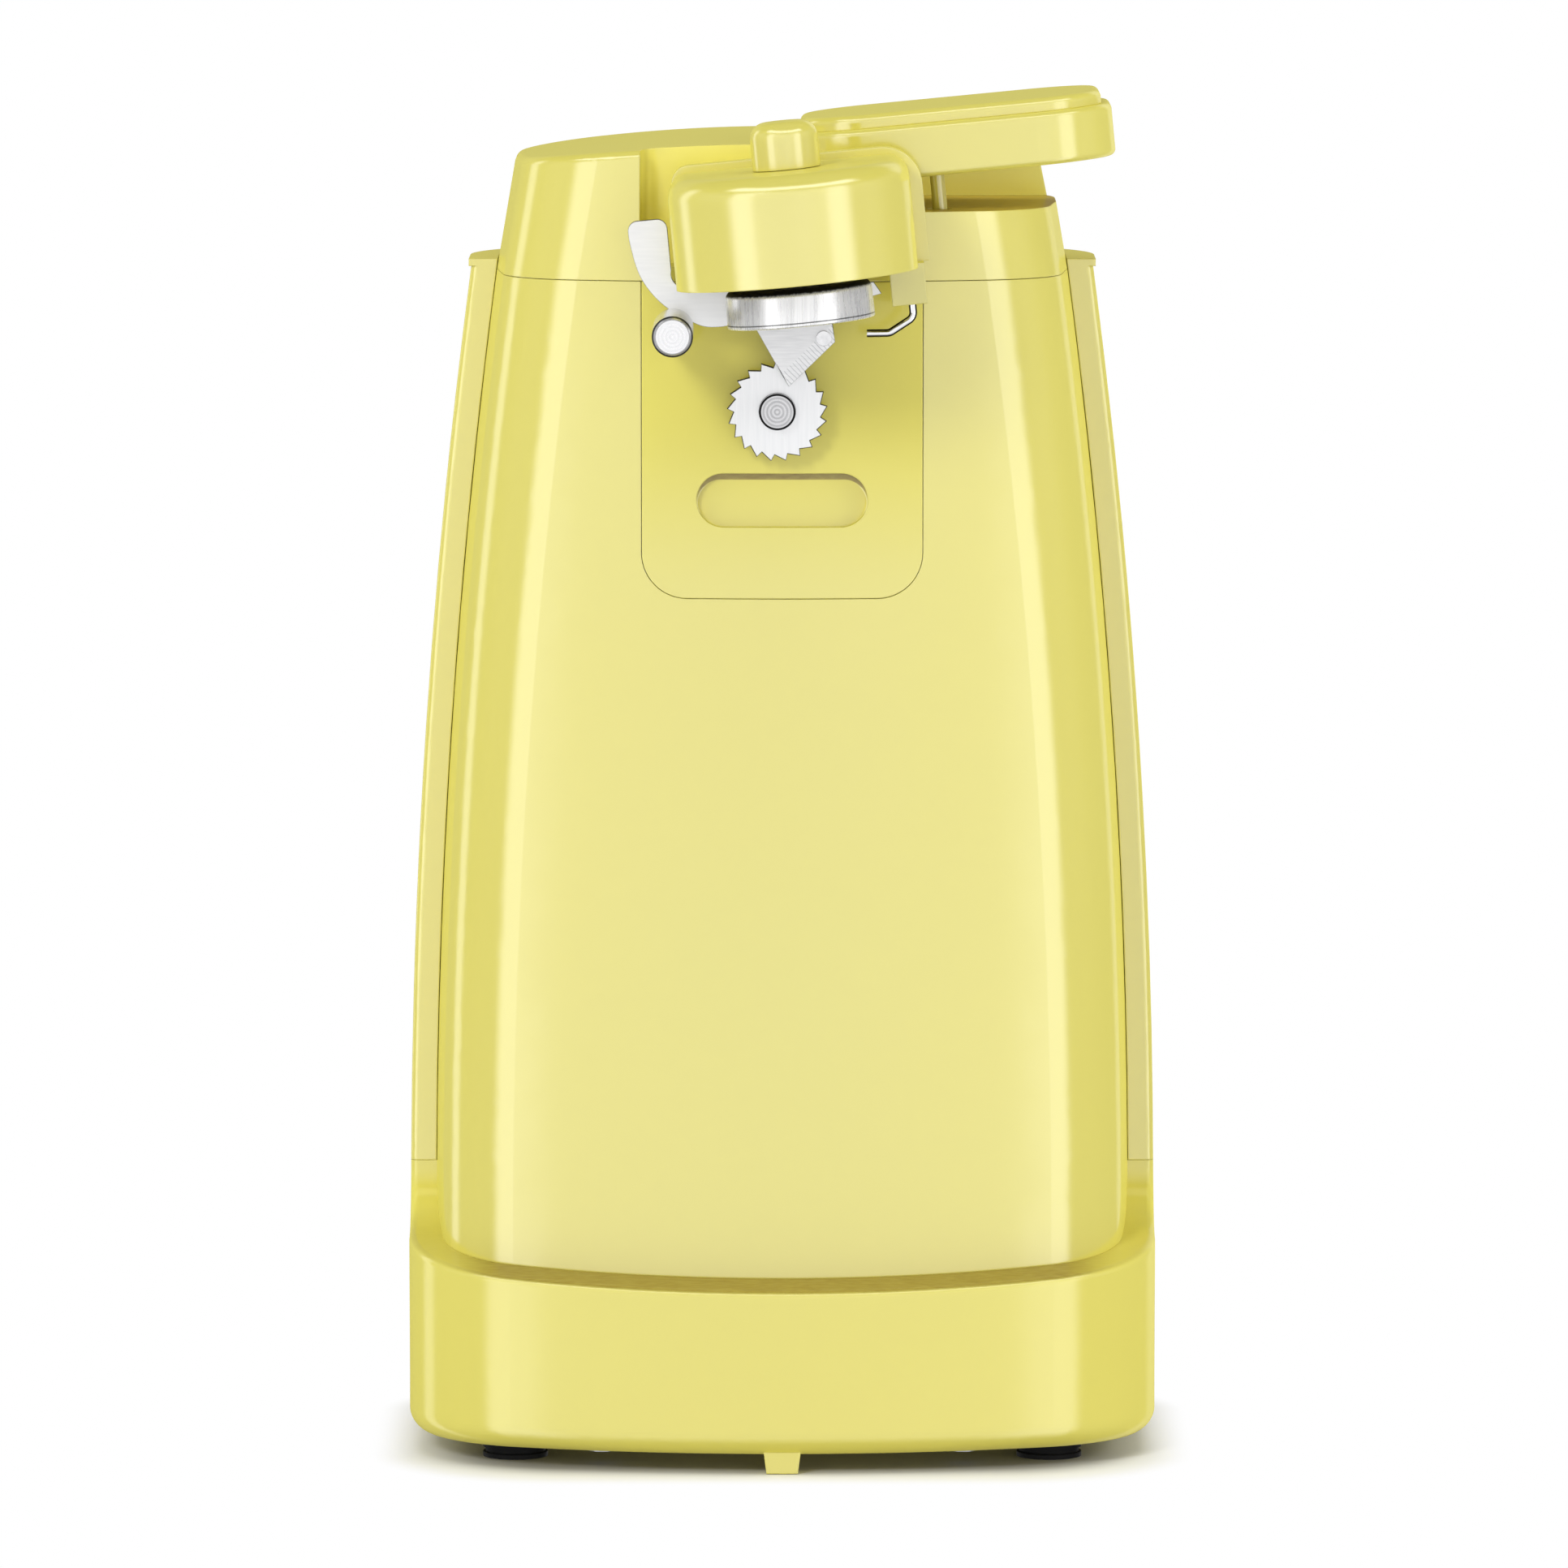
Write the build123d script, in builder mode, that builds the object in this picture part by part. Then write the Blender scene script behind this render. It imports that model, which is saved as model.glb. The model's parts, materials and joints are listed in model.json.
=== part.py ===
from build123d import *
import math
import os

os.makedirs("parts", exist_ok=True)

# Electric can opener, millimetres. Front is -Y, right is +X, up is +Z, the table is Z 0.

# Body envelope
FLOOR_GAP = 3.0
BODY_HALF_WIDTH = 62.4
BASE_FRONT = -31.2
BODY_BACK = 63.7
BEND_START = 40.0
SIDE_BEND_RADIUS = 1180.0
BACK_BEND_RADIUS = 1435.0
BASE_FRONT_RADIUS = 136.0
BODY_BACK_RADIUS = 85.0
BODY_CORNER_RADIUS = 26.0
BODY_BOTTOM_ROUND = 4.0
BODY_SECTIONS = 6
WALL = 2.4
SEAM_Z = 197.0
SEAM_GAP = 0.1
BASE_GAP = 0.04
RAIL_GAP = 0.12
PANEL_GAP = 0.3

# Rails of the rear housing beside the front cover
RAIL_RISE = 1.6
RAIL_TOP = SEAM_Z + RAIL_RISE
RAIL_WIDTH = 4.4
RAIL_FRONT = 11.0
RAIL_DEPTH = 3.0
LIP_HEIGHT = 1.2
LIP_OVERHANG = 0.4

# Base skirt and ledge
RIM_Z = 30.65
RIM_ROUND = 1.2
LEDGE_SLOPE = 9.65
LEDGE_RADIUS = 10.0
BASE_SEAM_Z = 47.0
BASE_SEAM_Y = RAIL_FRONT + RAIL_DEPTH
NIB_WIDTH = 7.0
NIB_FOOT_WIDTH = 5.2
NIB_DEPTH = 4.6
NIB_LIFT = 0.1
NIB_PROUD = 0.6
NIB_RISE = 2.0

# Front cover and its insert
PANEL_FRONT = -24.0
PANEL_SWEEP = 23.6
PANEL_SIDE_DRAFT = 2.3
PANEL_EDGE_RADIUS = 18.0
PANEL_LAP = 2.5
PANEL_SECTIONS = 5
INSERT_SHARE = 0.4446
INSERT_HEIGHT = 52.2
INSERT_LOW = SEAM_Z - INSERT_HEIGHT
INSERT_CORNER = 7.4
INSERT_WALL = 3.2
RECESS_DROP = 36.0
RECESS_Z = SEAM_Z - RECESS_DROP
RECESS_LENGTH = 28.2
RECESS_HEIGHT = 8.9
RECESS_DEPTH = 1.6

# Head
HEAD_HEIGHT = 22.0
HEAD_TOP = SEAM_Z + HEAD_HEIGHT
HEAD_DRAFT = 9.6
HEAD_CROWN_RADIUS = 340.0
HEAD_EDGE_ROUND = 1.6
HEAD_BACK_RADIUS = 80.0
POCKET_LEFT = -23.4
POCKET_RIGHT = 19.5
POCKET_BACK = -12.5
POCKET_FLOOR = SEAM_Z + WALL
POCKET_CORNER = 3.0
NOTCH_RISE = 11.2
NOTCH_FLOOR = SEAM_Z + NOTCH_RISE
NOTCH_CLEAR = 0.6
NOTCH_CORNER = 13.0

# Lever, in its own frame: U along the paddle, V up, both from the pivot
PIVOT_X = -12.0
PIVOT_RISE = 8.0
PIVOT_Z = SEAM_Z + PIVOT_RISE
LEVER_TILT = 5.5
LEVER_LIFT = 30.0
PIN_RADIUS = 3.0
PIN_SKIN = 1.2
HUB_RADIUS = 5.6
HUB_RIGHT = 29.5
HUB_TOP = 9.5
HUB_LOW = -5.0
HUB_CLEAR = 0.8
HOOD_LEFT = -5.3
HOOD_RIGHT = 35.6
HOOD_TOP = 11.6
HOOD_LOW = -7.6
HOOD_CORNER_LEFT = 3.0
HOOD_CORNER_RIGHT = 6.5
HOOD_GAP = 0.5
HOOD_BACK = PANEL_FRONT - HOOD_GAP
HOOD_THICK = 3.7
HOOD_FRONT = HOOD_BACK - HOOD_THICK
PADDLE_LEFT = 15.0
PADDLE_RIGHT = 68.0
PADDLE_DEPTH = 38.0
PADDLE_CORNER = 13.0
PADDLE_LOW = 5.5
PADDLE_TOP = 14.2
PADDLE_ROUND = 1.0
PADDLE_CLEAR = 10.0
CAP_INSET = 1.6
CAP_HEIGHT = 2.3
CAP_ROUND = 1.2
BLOCK_LEFT = 28.8
BLOCK_RIGHT = 34.6
BLOCK_LOW = -14.3
BLOCK_DEPTH = 7.5
BLOCK_INSET = 1.0
POST_U = 38.2
POST_Y = -10.0
POST_RADIUS = 1.2
POST_LOW = -2.5
POST_HOLE_CLEAR = 0.8

# Magnet group
MAGNET_U = 13.8
MAGNET_Y = -44.0
BOSS_RADIUS = 19.7
BOSS_LOW = -7.6
BOSS_TOP = 10.4
BOSS_ROUND = 3.5
BOSS_WALL = 2.2
BOSS_BACK_WALL = 3.3
BOSS_CEILING = 2.5
BOSS_POST_RADIUS = 3.0
KNOB_RADIUS = 5.5
KNOB_HEIGHT = 7.7
KNOB_ROUND = 2.6
KNOB_GAP = 0.1
KNOB_BORE = 4.0
STEM_RADIUS = 3.0
RUN_CLEAR = 0.05
TUBE_RADIUS = 5.2
TUBE_LOW = -1.4
CUP_RADIUS = 12.05
CUP_TOP = -8.4
CUP_HEIGHT = 6.3
CUP_WALL = 1.0
CUP_ROUND = 1.5
MAGNET_RECESS = 0.25
SPRING_RADIUS = 6.8
SPRING_WIRE = 0.45
SPRING_TURNS = 6
LEVER_SCREW_U = 9.5
LEVER_SCREW_V = 5.0
LEVER_SCREW_RADIUS = 1.4
LEVER_SCREW_REACH = 8.0
LEVER_HEAD_RADIUS = 2.6
LEVER_HEAD_DEPTH = 2.2
LEVER_HEAD_SEAT = 3.0

# Cutter plate group
PLATE_THICK = 1.8
PLATE_FRONT = HOOD_FRONT - PLATE_THICK
FLANGE_LEFT = 2.6
FLANGE_RIGHT = 25.0
FLANGE_TOP = 7.4
FLANGE_CLEAR = 0.2
TAB_LEFT = -13.1
TAB_RIGHT = -6.7
TAB_TOP = 3.4
TAB_CORNER = 1.6
PLATE_SWEEP = (
    (TAB_LEFT, 1.4),
    (-12.9, -0.8),
    (-11.8, -5.7),
    (-10.0, -8.9),
    (-7.8, -11.3),
    (-3.7, -14.1),
    (0.9, -15.1),
)
PLATE_BAR = ((24.9, -12.6), (27.2, -12.2), (26.1, -10.2), (1.3, -9.3), (-4.3, -9.0))
PLATE_THROAT = (-4.3, -8.1)
PLATE_THROAT_MID = (-6.25, -7.35)
PLATE_THROAT_TOP = -5.2
PLATE_LOBE = ((4.8, -12.5), (8.6, -20.2), (16.6, -20.2), (18.6, -18.8), (18.5, -12.5))
TAB_FOLD = 2.6
TAB_FOLD_THICK = 0.9
GUIDE_U = -7.24
GUIDE_V = -14.67
GUIDE_RADIUS = 3.35
GUIDE_LENGTH = 20.0
GUIDE_TENON = 2.0
GUIDE_CHAMFER = 0.5
BLADE_THICK = 1.2
BLADE_TIP = (10.66, -25.9)
BLADE_RIGHT = (18.9, -19.3)
BLADE_TOP = -10.5
BLADE_TOP_RIGHT = 18.6
BLADE_TOP_LEFT = 3.8
RIVET_RADIUS = 0.8
RIVET_HEAD = 1.25
RIVET_HEAD_THICK = 0.4
RIVETS = ((17.1, -18.5), (8.6, -12.2))
WIRE_RADIUS = 0.65
WIRE_U = 32.1
WIRE_ROOT = 5.0
WIRE_DROP = (32.1, -16.6)
WIRE_BEND = (27.9, -18.8)
WIRE_END = (24.2, -18.5)
WIRE_BEND_RADIUS = 1.6

# Drive wheel, spindle and gear train
SPINDLE_X = -0.8
SPINDLE_DROP = 21.0
SPINDLE_Z = SEAM_Z - SPINDLE_DROP
SPINDLE_RADIUS = 3.0
WHEEL_BACK = -26.2
WHEEL_THICK = 1.8
WHEEL_TEETH = 21
WHEEL_TIP = 8.25
WHEEL_ROOT = 7.2
WHEEL_STEEP = 0.2
WHEEL_CLOCK = 91.5
SPINDLE_NOSE = 1.6
COLLAR_RADIUS = 4.2
COLLAR_CLEAR = 0.6
MODULE = 0.7
WHEEL_COUNT = 42
PINION_COUNT = 12
PRESSURE = math.radians(25.0)
FLANK_STEPS = 3
ADDENDUM = 0.9
DEDENDUM = 1.2
BACKLASH = 0.16
CENTRES = MODULE * (WHEEL_COUNT + PINION_COUNT) / 2
SECOND_ANGLE = math.radians(-110.0)
FIRST_ANGLE = math.radians(-61.5)
MOTOR_ANGLE = math.radians(-95.0)
AXLE_RADIUS = 2.0
HUB_TUBE_RADIUS = 3.0
PLATE_GAUGE = 1.6
FRONT_PLATE_Y = -13.0
REAR_PLATE_Y = 6.5
GEAR_END_PLAY = 0.2
FINAL_BACK = -5.0
FINAL_WIDTH = 5.0
SECOND_BACK = 0.0
SECOND_WIDTH = 4.0
FIRST_BACK = 5.0
FIRST_WIDTH = 4.0
PINION_LAP = 0.3
CHASSIS_SHARE = 0.566
CHASSIS_DROP = 4.0
CHASSIS_HEIGHT = 87.0
CHASSIS_CORNER = 4.0
PLATE_POST_INSET = 3.4
PLATE_POST_RISE = 6.0
PLATE_POST_DROP = 21.0
PLATE_POST_RADIUS = 2.6
PLATE_SCREW_RISE = 18.0
PLATE_SCREW_DROP = 9.0
PLATE_SCREW_RADIUS = 1.3
PLATE_HEAD_RADIUS = 2.5
PLATE_HEAD_DEPTH = 1.8
PLATE_SCREW_REACH = 4.2
PLATE_BOSS_RADIUS = 3.0
BUSH_RADIUS = 5.0
BUSH_FLANGE = 6.8
BUSH_FLANGE_THICK = 1.6
BUSH_NOSE = 7.2
BUSH_TAIL = 1.0
CLIP_THICK = 0.8
CLIP_RADIUS = 4.8
SPINDLE_TAIL = 0.8
PIVOT_BUSH_RADIUS = 4.4
PIVOT_BOSS_RADIUS = 6.4
PIVOT_BOSS_LENGTH = 8.0
PIVOT_TAIL = 1.6

# Motor
MOTOR_SPACER = 3.4
BRACKET_GAUGE = 2.0
BRACKET_FOOT = 2.0
STACK_THICK = 18.0
STACK_HALF_WIDTH = 29.0
STACK_ABOVE = 19.0
STACK_BELOW = 51.0
ROTOR_RADIUS = 12.3
AIR_GAP = 0.4
ROTOR_SHORT = 0.5
WINDOW_HALF_WIDTH = 14.0
WINDOW_TOP = 18.0
LEG_HEIGHT = 13.0
BOBBIN_WALL = 1.2
BOBBIN_CLEAR = 0.2
COIL_BUILD = 6.5
SHAFT_RADIUS = 2.0
BEARING_RADIUS = 4.4
BEARING_LENGTH = 3.6
BRACKET_BOSS_RADIUS = 6.4
BRACKET_HALF_HEIGHT = 6.4
MOTOR_SCREW_X = 20.0
MOTOR_SCREW_RADIUS = 1.8
MOTOR_HEAD_RADIUS = 3.2
MOTOR_HEAD_DEPTH = 2.0
SPACER_RADIUS = 4.0
SHAFT_TAIL = 1.2
SHAFT_HOLE_CLEAR = 2.0
COIL_ROUND = 3.0

# Switch
SWITCH_WIDTH = 7.0
SWITCH_DEPTH = 9.0
SWITCH_DROP = 13.0
SWITCH_LOW = SEAM_Z - SWITCH_DROP
LEAF_THICK = 0.4
LEAF_GAP = 0.5
LEAF_WIDTH = 5.0
LEAF_FRONT = -11.6
CONTACT_DROP = 3.6
CONTACT_ROOT = 3.0

# Bottom cover, feet, fasteners and cord inlet
COVER_INSET = 1.0
COVER_THICK = 2.4
FOOT_X = 44.5
FOOT_FRONT_Y = -8.5
FOOT_BACK_Y = 40.0
FOOT_RADIUS = 5.4
FOOT_GROOVE = 0.4
FOOT_RIBS = 3
FOOT_SPIGOT = 2.4
FOOT_SPIGOT_RISE = 1.0
COVER_SCREW_X = 30.0
COVER_SCREW_FRONT_Y = -18.0
COVER_SCREW_BACK_Y = 52.0
COVER_POST_RADIUS = 4.6
COVER_POST_TOP = 31.4
COVER_SCREW_RADIUS = 1.5
COVER_SCREW_REACH = 9.0
COVER_HEAD_RADIUS = 2.4
COVER_HEAD_DEPTH = 1.6
HOUSING_SCREW_X = 38.5
HOUSING_SCREW_LOW = 58.0
HOUSING_SCREW_DROP = 13.0
HOUSING_SCREW_HIGH = SEAM_Z - HOUSING_SCREW_DROP
HOUSING_BOSS_RADIUS = 3.6
HOUSING_TUBE_RADIUS = 4.6
HOUSING_TUBE_BORE = 3.2
HOUSING_TUBE_FLOOR = 2.5
HOUSING_JOINT_Y = 16.0
HOUSING_SCREW_RADIUS = 1.45
HOUSING_SCREW_REACH = 11.0
HOUSING_HEAD_RADIUS = 2.8
HOUSING_HEAD_DEPTH = 2.0
GLAND_Z = 22.0
GLAND_RADIUS = 4.9
GLAND_BORE = 3.2
GLAND_FLANGE = 6.6
GLAND_FLANGE_THICK = 2.0
GLAND_INSET = 0.4
GLAND_SEAT = 0.4
VENT_COUNT = 7
VENT_PITCH = 8.0
VENT_WIDTH = 3.0
VENT_LENGTH = 34.0
VENT_DROP = 67.0
VENT_Z = SEAM_Z - VENT_DROP
FAR = 90.0
OVERRUN = 1.0

# Derived places
TILT = math.radians(LEVER_TILT)
LIFT = math.radians(LEVER_TILT + LEVER_LIFT)
LEDGE = math.radians(LEDGE_SLOPE)
LEVER_UP = Axis((0, 0, 0), (-math.sin(TILT), 0, math.cos(TILT)))
PANEL_BACK = RAIL_FRONT + PANEL_LAP
HEAD_BACK_CORNER = BODY_CORNER_RADIUS - RAIL_WIDTH
HEAD_HALF_WIDTH = BODY_HALF_WIDTH - (SEAM_Z - BEND_START) ** 2 / (2 * SIDE_BEND_RADIUS)
CHASSIS_HALF_WIDTH = CHASSIS_SHARE * HEAD_HALF_WIDTH
INSERT_HALF_WIDTH = INSERT_SHARE * HEAD_HALF_WIDTH
CHASSIS_TOP = SEAM_Z - CHASSIS_DROP
CHASSIS_LOW = CHASSIS_TOP - CHASSIS_HEIGHT
PLATE_POST_X = CHASSIS_HALF_WIDTH - PLATE_POST_INSET
PLATE_SCREW_X = INSERT_HALF_WIDTH + PLATE_BOSS_RADIUS + PANEL_GAP
FRONT_PLATE_BACK = FRONT_PLATE_Y + PLATE_GAUGE
REAR_PLATE_BACK = REAR_PLATE_Y + PLATE_GAUGE
SECOND_X = SPINDLE_X + CENTRES * math.cos(SECOND_ANGLE)
SECOND_Z = SPINDLE_Z + CENTRES * math.sin(SECOND_ANGLE)
FIRST_X = SECOND_X + CENTRES * math.cos(FIRST_ANGLE)
FIRST_Z = SECOND_Z + CENTRES * math.sin(FIRST_ANGLE)
MOTOR_X = FIRST_X + CENTRES * math.cos(MOTOR_ANGLE)
MOTOR_Z = FIRST_Z + CENTRES * math.sin(MOTOR_ANGLE)
BRACKET_FRONT = REAR_PLATE_BACK + MOTOR_SPACER
STACK_FRONT = BRACKET_FRONT + BRACKET_GAUGE + BRACKET_FOOT
STACK_BACK = STACK_FRONT + STACK_THICK
BRACKET_REAR = STACK_BACK + BRACKET_FOOT + BRACKET_GAUGE
STACK_LOW = MOTOR_Z - STACK_BELOW
COVER_LOW = FLOOR_GAP + COVER_INSET
COVER_TOP = COVER_LOW + COVER_THICK
NOTCH_BACK = PADDLE_DEPTH / 2 + PADDLE_CLEAR
PADDLE_REACH = PADDLE_LEFT / math.cos(LIFT) - (HEAD_TOP - PIVOT_Z) * math.tan(LIFT)
NOTCH_LEFT = PIVOT_X + PADDLE_REACH - NOTCH_CLEAR
POST_X = PIVOT_X + POST_U * math.cos(TILT)
LEAF_TOP = NOTCH_FLOOR - WALL - LEAF_GAP
CONTACT_TOP = LEAF_TOP - CONTACT_DROP
SWITCH_FRONT = REAR_PLATE_Y - SWITCH_DEPTH
POST_SITES = (
    (-PLATE_POST_X, CHASSIS_LOW + PLATE_POST_RISE),
    (PLATE_POST_X, CHASSIS_LOW + PLATE_POST_RISE),
    (-PLATE_POST_X, CHASSIS_TOP - PLATE_POST_DROP),
    (PLATE_POST_X, CHASSIS_TOP - PLATE_POST_DROP),
)
PLATE_SCREW_SITES = (
    (-PLATE_SCREW_X, CHASSIS_LOW + PLATE_SCREW_RISE),
    (PLATE_SCREW_X, CHASSIS_LOW + PLATE_SCREW_RISE),
    (-PLATE_SCREW_X, CHASSIS_TOP - PLATE_SCREW_DROP),
    (PLATE_SCREW_X, CHASSIS_TOP - PLATE_SCREW_DROP),
)
FOOT_SITES = (
    (-FOOT_X, FOOT_FRONT_Y),
    (FOOT_X, FOOT_FRONT_Y),
    (-FOOT_X, FOOT_BACK_Y),
    (FOOT_X, FOOT_BACK_Y),
)
COVER_SCREW_SITES = (
    (-COVER_SCREW_X, COVER_SCREW_FRONT_Y),
    (COVER_SCREW_X, COVER_SCREW_FRONT_Y),
    (-COVER_SCREW_X, COVER_SCREW_BACK_Y),
    (COVER_SCREW_X, COVER_SCREW_BACK_Y),
)
HOUSING_SCREW_SITES = (
    (-HOUSING_SCREW_X, HOUSING_SCREW_LOW),
    (HOUSING_SCREW_X, HOUSING_SCREW_LOW),
    (-HOUSING_SCREW_X, HOUSING_SCREW_HIGH),
    (HOUSING_SCREW_X, HOUSING_SCREW_HIGH),
)
LEVER_SCREW_SITES = (
    (MAGNET_U - LEVER_SCREW_U, LEVER_SCREW_V),
    (MAGNET_U + LEVER_SCREW_U, LEVER_SCREW_V),
)
MOTOR_SCREW_SITES = (
    (MOTOR_X - MOTOR_SCREW_X, MOTOR_Z),
    (MOTOR_X + MOTOR_SCREW_X, MOTOR_Z),
)
HUB_BACK = POCKET_BACK - HUB_CLEAR
LEVER_SEAT = HOOD_BACK + LEVER_HEAD_SEAT
BLOCK_BACK = HOOD_BACK - BLOCK_INSET
WIRE_Y = BLOCK_BACK - BLOCK_DEPTH / 2
PIVOT_BUSH_BACK = POCKET_BACK + WALL + PIVOT_BOSS_LENGTH
BUSH_FRONT = FRONT_PLATE_Y - BUSH_NOSE
REAR_BUSH_BACK = REAR_PLATE_BACK + BUSH_TAIL
SPINDLE_FRONT = WHEEL_BACK - WHEEL_THICK - SPINDLE_NOSE
SPINDLE_BACK = REAR_BUSH_BACK + RUN_CLEAR + CLIP_THICK + SPINDLE_TAIL


def arc_sag(radius, half):
    return radius - math.sqrt(radius**2 - half**2)


def bend_rise(z):
    return max(0.0, z - BEND_START) ** 2 / 2


def half_width(z):
    return BODY_HALF_WIDTH - bend_rise(z) / SIDE_BEND_RADIUS


def back_y(z):
    return BODY_BACK - bend_rise(z) / BACK_BEND_RADIUS


def front_plane(y):
    return Plane(origin=(0, y, 0), x_dir=(1, 0, 0), z_dir=(0, -1, 0))


def lever_front(y):
    along = (math.cos(TILT), 0, math.sin(TILT))
    return Plane(origin=(PIVOT_X, y, PIVOT_Z), x_dir=along, z_dir=(0, -1, 0))


def lever_top(v):
    along = (math.cos(TILT), 0, math.sin(TILT))
    rise = (-math.sin(TILT), 0, math.cos(TILT))
    origin = (PIVOT_X + v * rise[0], 0, PIVOT_Z + v * rise[2])
    return Plane(origin=origin, x_dir=along, z_dir=rise)


def save(part, label):
    part.label = label
    export_step(part, f"parts/{label}.step")


def levels(low, high, count):
    return [low + (high - low) * k / count for k in range(count + 1)]


def body_outline(z, inset):
    half = half_width(z) - inset
    front = BASE_FRONT + inset
    back = back_y(z) - inset
    front_side = front + arc_sag(BASE_FRONT_RADIUS - inset, half)
    back_side = back - arc_sag(BODY_BACK_RADIUS - inset, half)
    with BuildSketch(Plane.XY.offset(z)) as outline:
        with BuildLine():
            ThreePointArc((-half, front_side), (0, front), (half, front_side))
            Line((half, front_side), (half, back_side))
            ThreePointArc((half, back_side), (0, back), (-half, back_side))
            Line((-half, back_side), (-half, front_side))
        make_face()
        fillet(outline.vertices(), BODY_CORNER_RADIUS - inset)
    return outline.sketch


def body_solid(inset, low, high):
    with BuildPart() as solid:
        loft([body_outline(z, inset) for z in levels(low, high, BODY_SECTIONS)])
    return solid.part


def panel_radius(half):
    return (half - PANEL_SIDE_DRAFT) / math.sin(math.radians(PANEL_SWEEP))


def panel_outline(z, inset, back):
    half = half_width(z) - RAIL_WIDTH - inset
    shoulder = half - PANEL_SIDE_DRAFT
    front = PANEL_FRONT + inset
    side = front + arc_sag(panel_radius(half + inset) - inset, shoulder)
    with BuildSketch(Plane.XY.offset(z)) as outline:
        with BuildLine():
            ThreePointArc((-shoulder, side), (0, front), (shoulder, side))
            Polyline(
                (shoulder, side),
                (half, RAIL_FRONT),
                (half, back),
                (-half, back),
                (-half, RAIL_FRONT),
                (-shoulder, side),
            )
        make_face()
        fillet(outline.vertices().sort_by(Axis.Y)[:2], PANEL_EDGE_RADIUS - inset)
    return outline.sketch


def panel_solid(inset, low, high, back):
    with BuildPart() as solid:
        loft([panel_outline(z, inset, back) for z in levels(low, high, PANEL_SECTIONS)])
    return solid.part


def head_outline(z, inset):
    lean = inset + (z - SEAM_Z) * math.tan(math.radians(HEAD_DRAFT))
    half = HEAD_HALF_WIDTH - RAIL_WIDTH - lean
    shoulder = half - PANEL_SIDE_DRAFT
    front = PANEL_FRONT + lean
    side = front + arc_sag(panel_radius(half + inset) - inset, shoulder)
    back = back_y(SEAM_Z) - RAIL_WIDTH - lean
    back_side = back - arc_sag(HEAD_BACK_RADIUS - inset, half)
    with BuildSketch(Plane.XY.offset(z)) as outline:
        with BuildLine():
            ThreePointArc((-shoulder, side), (0, front), (shoulder, side))
            Polyline((shoulder, side), (half, RAIL_FRONT), (half, back_side))
            ThreePointArc((half, back_side), (0, back), (-half, back_side))
            Polyline((-half, back_side), (-half, RAIL_FRONT), (-shoulder, side))
        make_face()
        fillet(outline.vertices().sort_by(Axis.Y)[:2], PANEL_EDGE_RADIUS - inset)
        fillet(outline.vertices().sort_by(Axis.Y)[-2:], HEAD_BACK_CORNER - inset)
    return outline.sketch


def head_solid(inset):
    crown = HEAD_TOP - inset
    side = crown - arc_sag(HEAD_CROWN_RADIUS - inset, FAR)
    with BuildPart() as solid:
        loft([head_outline(SEAM_Z, inset), head_outline(HEAD_TOP + WALL, inset)])
        with BuildSketch(front_plane(FAR)) as crown_cut:
            with BuildLine():
                ThreePointArc((-FAR, side), (0, crown), (FAR, side))
                Polyline((FAR, side), (FAR, HEAD_TOP + FAR), (-FAR, HEAD_TOP + FAR), (-FAR, side))
            make_face()
        extrude(amount=2 * FAR, mode=Mode.SUBTRACT)
    return solid.part


def scoop_solid(deck):
    back = RAIL_FRONT + deck
    front_z = RIM_Z - deck - FAR * math.tan(LEDGE)
    back_z = RIM_Z - deck + (back - BASE_FRONT) * math.tan(LEDGE)
    front = BASE_FRONT - FAR
    with BuildPart() as solid:
        with BuildSketch(Plane.YZ.offset(-FAR)):
            with BuildLine():
                low = FilletPolyline(
                    (front, front_z),
                    (back, back_z),
                    (back, HEAD_TOP),
                    radius=LEDGE_RADIUS + deck,
                )
                Polyline(low @ 1, (front, HEAD_TOP), low @ 0)
            make_face()
        extrude(amount=2 * FAR)
    return solid.part


def insert_prism(gap):
    half = INSERT_HALF_WIDTH + gap
    low = INSERT_LOW - gap
    top = SEAM_Z + OVERRUN
    with BuildPart() as solid:
        with BuildSketch(front_plane(0)) as outline:
            with Locations((0, (low + top) / 2)):
                Rectangle(2 * half, top - low)
            fillet(outline.vertices().sort_by(Axis.Y)[:2], INSERT_CORNER + gap)
        extrude(amount=FAR)
    return solid.part


def gear_points(teeth, clock, at_x, at_z):
    pitch = MODULE * teeth / 2
    base_circle = pitch * math.cos(PRESSURE)
    tip = pitch + ADDENDUM * MODULE
    root = pitch - DEDENDUM * MODULE
    half_tooth = math.pi / (2 * teeth) - BACKLASH / (4 * pitch)
    start = max(base_circle, root)
    radii = [root] + [start + (tip - start) * k / FLANK_STEPS for k in range(FLANK_STEPS + 1)]
    flank = []
    for radius in radii:
        slope = math.acos(min(1.0, base_circle / max(radius, base_circle)))
        involute = math.tan(PRESSURE) - PRESSURE - math.tan(slope) + slope
        flank.append((radius, half_tooth + involute))
    if base_circle <= root:
        flank = flank[1:]
    points = []
    for tooth in range(teeth):
        middle = clock + 2 * math.pi * tooth / teeth
        for radius, spread in flank:
            angle = middle - spread
            points.append((at_x + radius * math.cos(angle), at_z + radius * math.sin(angle)))
        for radius, spread in reversed(flank):
            angle = middle + spread
            points.append((at_x + radius * math.cos(angle), at_z + radius * math.sin(angle)))
    return points


def pinion_clock(line):
    return line + math.pi - math.pi / PINION_COUNT


body_outer = body_solid(0.0, FLOOR_GAP, RAIL_TOP)

with BuildPart() as rounded_body:
    add(body_outer)
    fillet(rounded_body.faces().sort_by(Axis.Z)[0].edges(), BODY_BOTTOM_ROUND)

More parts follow.
